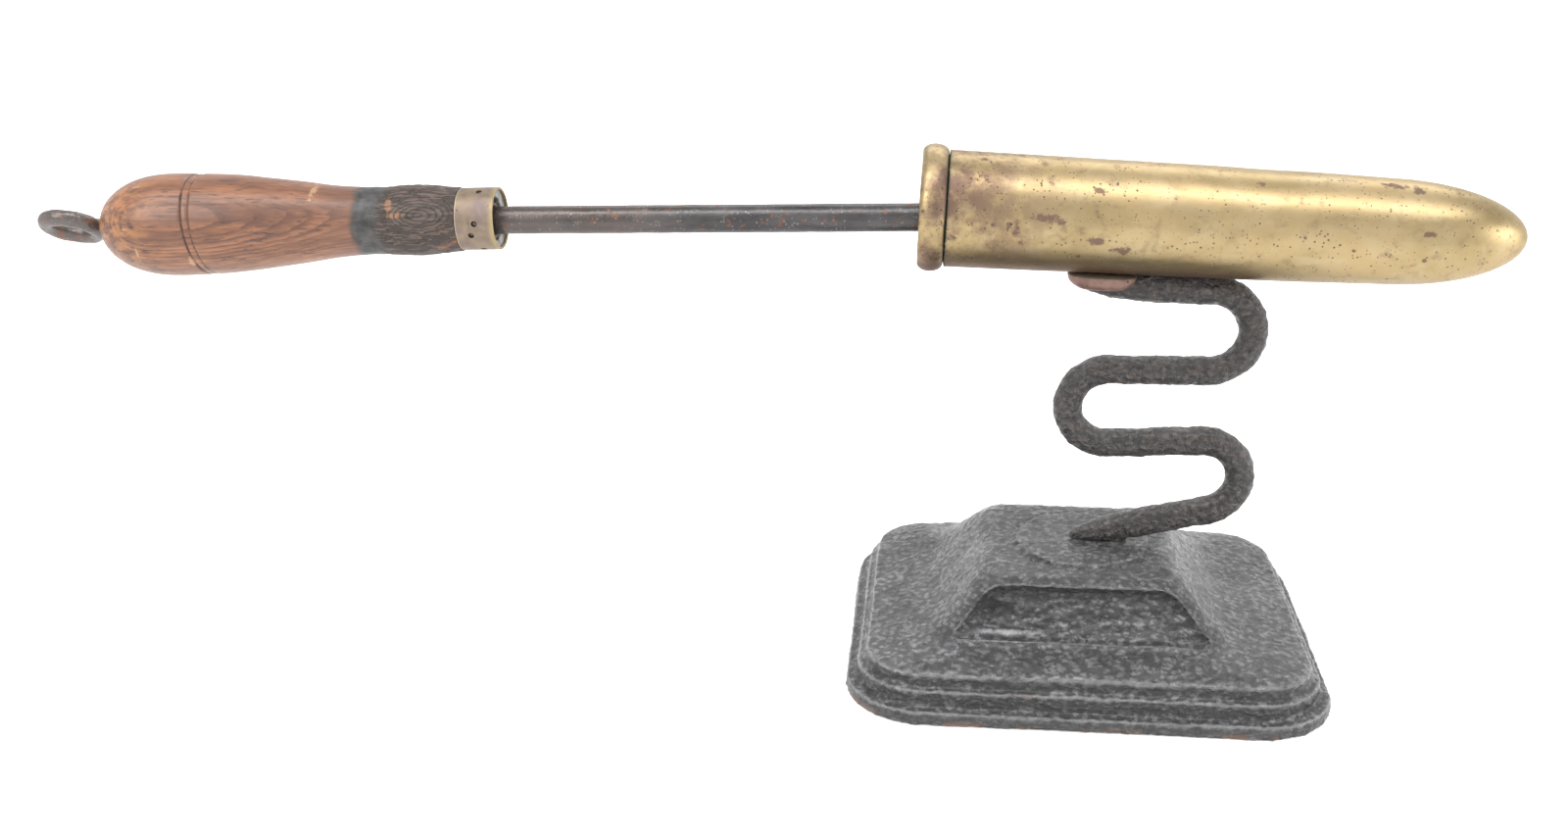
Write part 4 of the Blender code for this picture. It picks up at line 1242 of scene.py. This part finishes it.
def turnedHardwood():
    material, shader, place = startMaterial("handle_wood")
    local = axisPlace(place, butt, tilt["handle"])
    along, across, up = split(local)[0:3]
    look = woodLook

    def grained(share, *settings):
        # noise drawn out along the grain
        return noise(stretched(local, (share, 1, 1)), *settings)

    # growth layers face the near side, so the swell of the handle cuts them into long arches
    layers = plus(plus(times(across, -0.95), times(up, 0.34)), times(along, 0.012))
    layers = plus(layers, times(grained(0.5, 42.0, 3.0, 0.5), 3.0 * mm))
    layers = plus(layers, times(grained(0.12, 420.0, 3.0), 0.6 * mm))
    saw = sums("FRACT", sums("DIVIDE", layers, look["layer"]))
    squareAcross = times(across, across)
    facing = sums("DIVIDE", squareAcross, plus(squareAcross, times(up, up)))
    broken = between(grained(0.35, 230.0, 4.0, 0.6), 0.34, 0.58, 0.3, 1.0)
    growth = times(between(saw, 0.35, 0.92), between(saw, 1.0, 0.94))
    growth = times(growth, times(broken, between(facing, 0.35, 0.8)))
    fibres = grained(0.05, 1500.0, 5.0, 0.65)
    pores = times(between(grained(0.14, 1300.0, 2.0, 0.5), 0.58, 0.66), between(grained(0.3, 260.0, 4.0), 0.38, 0.58))
    rubbed = times(between(along, 30 * mm, 6 * mm), blotch(stretched(local, (0.5, 1, 1)), 420.0, 0.42, 0.08))
    streaks = between(grained(0.13, 230.0, 7.0, 0.7, 0.3), 0.3, 0.7)
    tone = layered(
        mixed(streaks, look["deep"], look["light"]),
        (blotch(stretched(local, (0.35, 1, 1)), 75.0, 0.42, 0.14), 0.5, look["film"]),
        (growth, 0.82, look["layers"]), (between(fibres, 0.40, 0.68), 0.5, look["fibres"]),
        (pores, 0.75, look["pores"]), (rubbed, 0.6, look["rubbed"]),
    )
    for paleMark in stainedRound(local, look["scuffs"], handleRadius, 1.0):
        tone = mixed(times(paleMark, 0.5), tone, look["paleMark"])

    # scribed lines, filled with old wax
    leaning = plus(along, times(up, sin(radians(handle["scribeLean"]))))
    dirt = 0.0
    for distance, strength in zip(handle["scribed"], (1.0, 0.6)):
        line = between(apart(leaning, distance * mm), 0.46 * mm, 0.12 * mm)
        dirt = larger(dirt, times(line, strength))
    dirt = times(dirt, between(noise(place, 330.0, 4.0), 0.35, 0.58, 0.35, 0.95))

    # scorching towards the ferrule: a grey-black band, then burnt brown with cracks
    edge = plus(along, times(minus(noise(local, 150.0, 5.0), 0.5), 7 * mm))
    burnt = between(edge, 77.2 * mm, 80.2 * mm)
    pastBand = between(edge, 84.5 * mm, 88.0 * mm)
    tone = layered(tone, (dirt, 1.0, look["dirt"]), (between(edge, 66 * mm, 76 * mm), 0.5, look["warmed"]))
    cracks = grained(0.16, 1050.0, 4.0, 0.6, 0.8)
    crackLines = between(apart(cracks, 0.5), 0.035, 0.0)

    # a knot, with rings round it
    fromKnot = lengthOf(stretched(vectors("SUBTRACT", local, look["knot"]), (0.5, 1, 1)))
    fromKnot = plus(fromKnot, times(noise(local, 260.0, 3.0), 1.6 * mm))
    ringShare = sums("FRACT", sums("DIVIDE", fromKnot, look["knotRing"]))
    knotRings = times(between(apart(ringShare, 0.5), 0.26, 0.08), 0.75)
    inKnot = between(fromKnot, *look["knotReach"])
    crackLines = plus(times(crackLines, minus(1.0, inKnot)), times(knotRings, inKnot))

    charTone = mixed(between(noise(local, 300.0, 5.0), 0.3, 0.7), *look["charred"])
    brownTone = mixed(between(cracks, 0.35, 0.65), *look["burnt"])
    glow = blotch(stretched(local, (0.4, 1, 1)), 300.0, 0.16, 0.06)
    brownTone = mixed(times(glow, between(along, 92 * mm, 107 * mm, 0.35, 1.0)), brownTone, look["glow"])
    for hook in stainedRound(local, look["hooks"], lambda distance: 10.2 * mm, 0.6):
        brownTone = mixed(times(hook, 0.8), brownTone, look["amber"])
    scorched = mixed(pastBand, charTone, brownTone)
    scorched = mixed(times(crackLines, times(pastBand, 0.8)), scorched, look["cracks"])
    height = minus(times(fibres, 0.35), times(pores, 0.55))
    height = minus(height, times(times(crackLines, pastBand), 1.6))
    height = plus(height, times(times(cracks, pastBand), 0.9))
    feed(shader, {
        "Base Color": mixed(burnt, tone, scorched),
        "Roughness": plus(between(fibres, 0.3, 0.7, 0.36, 0.48), times(pastBand, 0.16)),
        "Coat Weight": between(burnt, 0.0, 1.0, 0.3, 0.05), "Coat Roughness": 0.26,
        "Specular IOR Level": 0.45, "Normal": bumped(height, 0.10 * mm, 0.7),
    })
    return material


handlePoints = smoothLine([(along * mm, radius * mm) for along, radius in handle["outline"]], 9)


def handleRadius(along):
    c = handle
    if along < c["cap"]:
        share = 1 - along / c["cap"]
        return handlePoints[0][1] * (1 - share ** c["fullness"]) ** (1 / c["fullness"])
    for (x0, r0), (x1, r1) in zip(handlePoints, handlePoints[1:]):
        if x0 <= along <= x1:
            return r0 + (r1 - r0) * (along - x0) / (x1 - x0)
    return handlePoints[-1][1]


def makeHandle():
    c = handle
    first, second = (distance * mm for distance in c["scribed"])
    end = c["outline"][-1][0] * mm
    stations = [c["cap"] * (1 - cos(pi / 2 * i / 18) ** (2 / c["fullness"])) for i in range(19)]
    at = c["cap"]
    while at < end - 0.6 * mm:
        near = min(abs(at - first), abs(at - second))
        at += c["step"] / 2 if near < c["fineReach"] else 2.4 * c["step"]
        if at < end:
            stations.append(at)
    outline = []
    for at in stations:
        near = min(abs(at - first), abs(at - second))
        dip = c["scribeDeep"] * max(0.0, 1 - near / c["scribeHalf"]) + c["bandDeep"] * (first < at < second)
        lean = c["scribeLean"] * max(0.0, 1 - max(0.0, first - at, at - second) / c["leanFades"])
        outline.append((at, handleRadius(at) - dip, lean if at > 2 * mm else 0.0))
    outline += [
        (end, handleRadius(end) - 0.1 * mm), (end + 0.05 * mm, c["spigot"]),
        (c["woodEnd"], c["spigot"] - 0.1 * mm), (c["woodEnd"], 0.0),
    ]
    piece = turned("turned_handle", outline, 112)
    roughen(piece, "handle wear", 22 * mm, 0.35 * mm, keepInside=0.45)
    charIn, charOut = c["charFull"]
    group = piece.vertex_groups.new(name="scorched")
    for point in piece.data.vertices:
        fromStart, toEnd = point.co.x - c["charStart"], end - point.co.x
        if fromStart > 0 and toEnd > 0.4 * mm:
            group.add([point.index], min(1.0, fromStart / charIn, toEnd / charOut), "REPLACE")
    roughen(piece, "char", 3.2 * mm, 0.7 * mm, 3, 0.8, vertex_group="scorched")
    closeUp(piece, 60)
    settle(piece, butt, "handle", "heater", "turned_hardwood", turnedHardwood(), "handle")


makeHandle()


# Hanging eye

eye = {
    "ring": 7.2 * mm,
    "bar": 2.55 * mm,
    "reach": 19.9 * mm,
    "nearHigh": 34.0,
    "farHigh": 4.0,
    "shank": 2.0 * mm,
    "shankDepth": 20 * mm,
    "voxel": 0.32 * mm,
}


def makeEye():
    c = eye
    middle = -(c["reach"] - c["bar"] - c["ring"])
    neckStart = middle + c["ring"]
    deselect()
    bpy.ops.mesh.primitive_torus_add(
        major_segments=72, minor_segments=28, major_radius=c["ring"], minor_radius=c["bar"],
        location=(middle, 0, 0), rotation=(radians(-c["nearHigh"]), radians(c["farHigh"]), 0),
    )
    ring = named("ring")
    applied(location=True, rotation=True)
    neck = turned("neck", [
        (neckStart - 0.6 * mm, 0.0), (neckStart - 0.6 * mm, c["shank"] * 1.3),
        (neckStart + 1.6 * mm, c["shank"] * 1.12), (neckStart + 3.0 * mm, c["shank"]),
        (c["shankDepth"] * 0.5, c["shank"]), (c["shankDepth"], c["shank"]), (c["shankDepth"], 0.0),
    ], 32)
    piece = unite([ring, neck], "iron_eye")
    melt(piece, c["voxel"], 6)
    roughen(piece, "eye forging", 4.5 * mm, 0.55 * mm, keepInside=0.65)
    roughen(piece, "eye scale", 1.1 * mm, 0.14 * mm, 3, keepInside=0.6)
    smoothed(piece)
    settle(piece, butt, "handle", "heater", "dark_steel", eyeSteel, "hanging_eye")


makeEye()


# CAD pieces that keep their shape and get a better finish

for nodeName in ("stem_washer", "stem_nut", "lug_rivet", "slug_pin"):
    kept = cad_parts[nodeName]
    kept.data.materials.clear()
    kept.data.materials.append(fittingSteel)
print("kept the washer, nut, rivet and pin")


# Floor, light and camera

studio = {
    "floor": 4.0,
    "target": (-0.06, 0, 0.09),
    # place from down to up, and brightness
    "sky": ((0.0, 0.75), (0.50, 1.10), (0.62, 1.05), (0.76, 0.72), (0.9, 0.62), (1.0, 0.7)),
    "lights": (  # place from the middle of the base, length, width, watts
        ((-0.08, -0.36, 1.12), 1.9, 0.34, 10.0),
        ((-0.70, -0.55, 0.60), 0.4, 0.4, 2.6),
        ((0.1, 0.75, 0.9), 1.2, 0.4, 3.4),
        ((0.75, -0.20, 0.22), 0.35, 0.35, 1.3),
    ),
}


def makeStudio():
    deselect()
    bpy.ops.mesh.primitive_circle_add(
        vertices=64, radius=studio["floor"], fill_type="NGON", location=(baseMiddle.x, 0, 0)
    )
    floor = named("studio_floor")
    material, shader, place = startMaterial("floor_paper")
    clouds = between(noise(place, 3.0, 3.0), 0.3, 0.7)
    tone = mixed(clouds, colour(0.93, 0.93, 0.93), colour(0.96, 0.96, 0.96))
    seen = add("ShaderNodeLightPath").outputs["Is Camera Ray"]
    feed(shader, {
        "Base Color": tone, "Roughness": 0.9, "Emission Color": colour(1, 1, 1),
        "Emission Strength": times(seen, 0.5),
    })
    floor.data.materials.append(material)

    world = bpy.data.worlds.new("studio_sky")
    bpy.context.scene.world = world
    world.use_nodes = True
    building["tree"] = world.node_tree
    direction = add("ShaderNodeTexCoord").outputs["Generated"]
    height = add("ShaderNodeMapRange", {"Value": split(direction)[2], "From Min": -1.0}).outputs[0]
    ramp = add("ShaderNodeValToRGB", {0: height})
    spots = ramp.color_ramp.elements
    while len(spots) < len(studio["sky"]):
        spots.new(0.5)
    for spot, (where, bright) in zip(spots, studio["sky"]):
        spot.position = where
        spot.color = colour(bright, bright, bright)
    feed(world.node_tree.nodes["Background"], {"Color": ramp.outputs[0], "Strength": 1.0})

    target = Vector((baseMiddle.x, 0, 0)) + Vector(studio["target"])
    for number, (place, length, width, power) in enumerate(studio["lights"], 1):
        spot = Vector((baseMiddle.x, 0, 0)) + Vector(place)
        bpy.ops.object.light_add(type="AREA", location=spot)
        lamp = bpy.context.object
        lamp.name = f"softbox_{number}"
        lamp.rotation_euler = (spot - target).to_track_quat("Z", "Y").to_euler()
        lamp.data.shape = "RECTANGLE"
        lamp.data.size = length
        lamp.data.size_y = width
        lamp.data.energy = power


view = {
    "place": (-0.04085, -0.4521, 0.23455),  # from the middle of the base
    "pitch": 20.213,
    "yaw": -5.993,
    "roll": -0.502,
    "lens": 37.81,
}


def makeCamera():
    bpy.ops.object.camera_add(location=Vector((baseMiddle.x, 0, 0)) + Vector(view["place"]))
    camera = bpy.context.object
    aim = (
        Matrix.Rotation(radians(-view["yaw"]), 4, "Z") @ Matrix.Rotation(radians(90 - view["pitch"]), 4, "X")
        @ Matrix.Rotation(radians(view["roll"]), 4, "Z")
    )
    camera.rotation_euler = aim.to_euler()
    camera.data.lens = view["lens"]
    camera.data.sensor_width = 36
    camera.data.clip_start = 0.01
    bpy.context.scene.camera = camera


makeStudio()
makeCamera()
bpy.context.scene.view_settings.view_transform = "Standard"
print("studio ready")
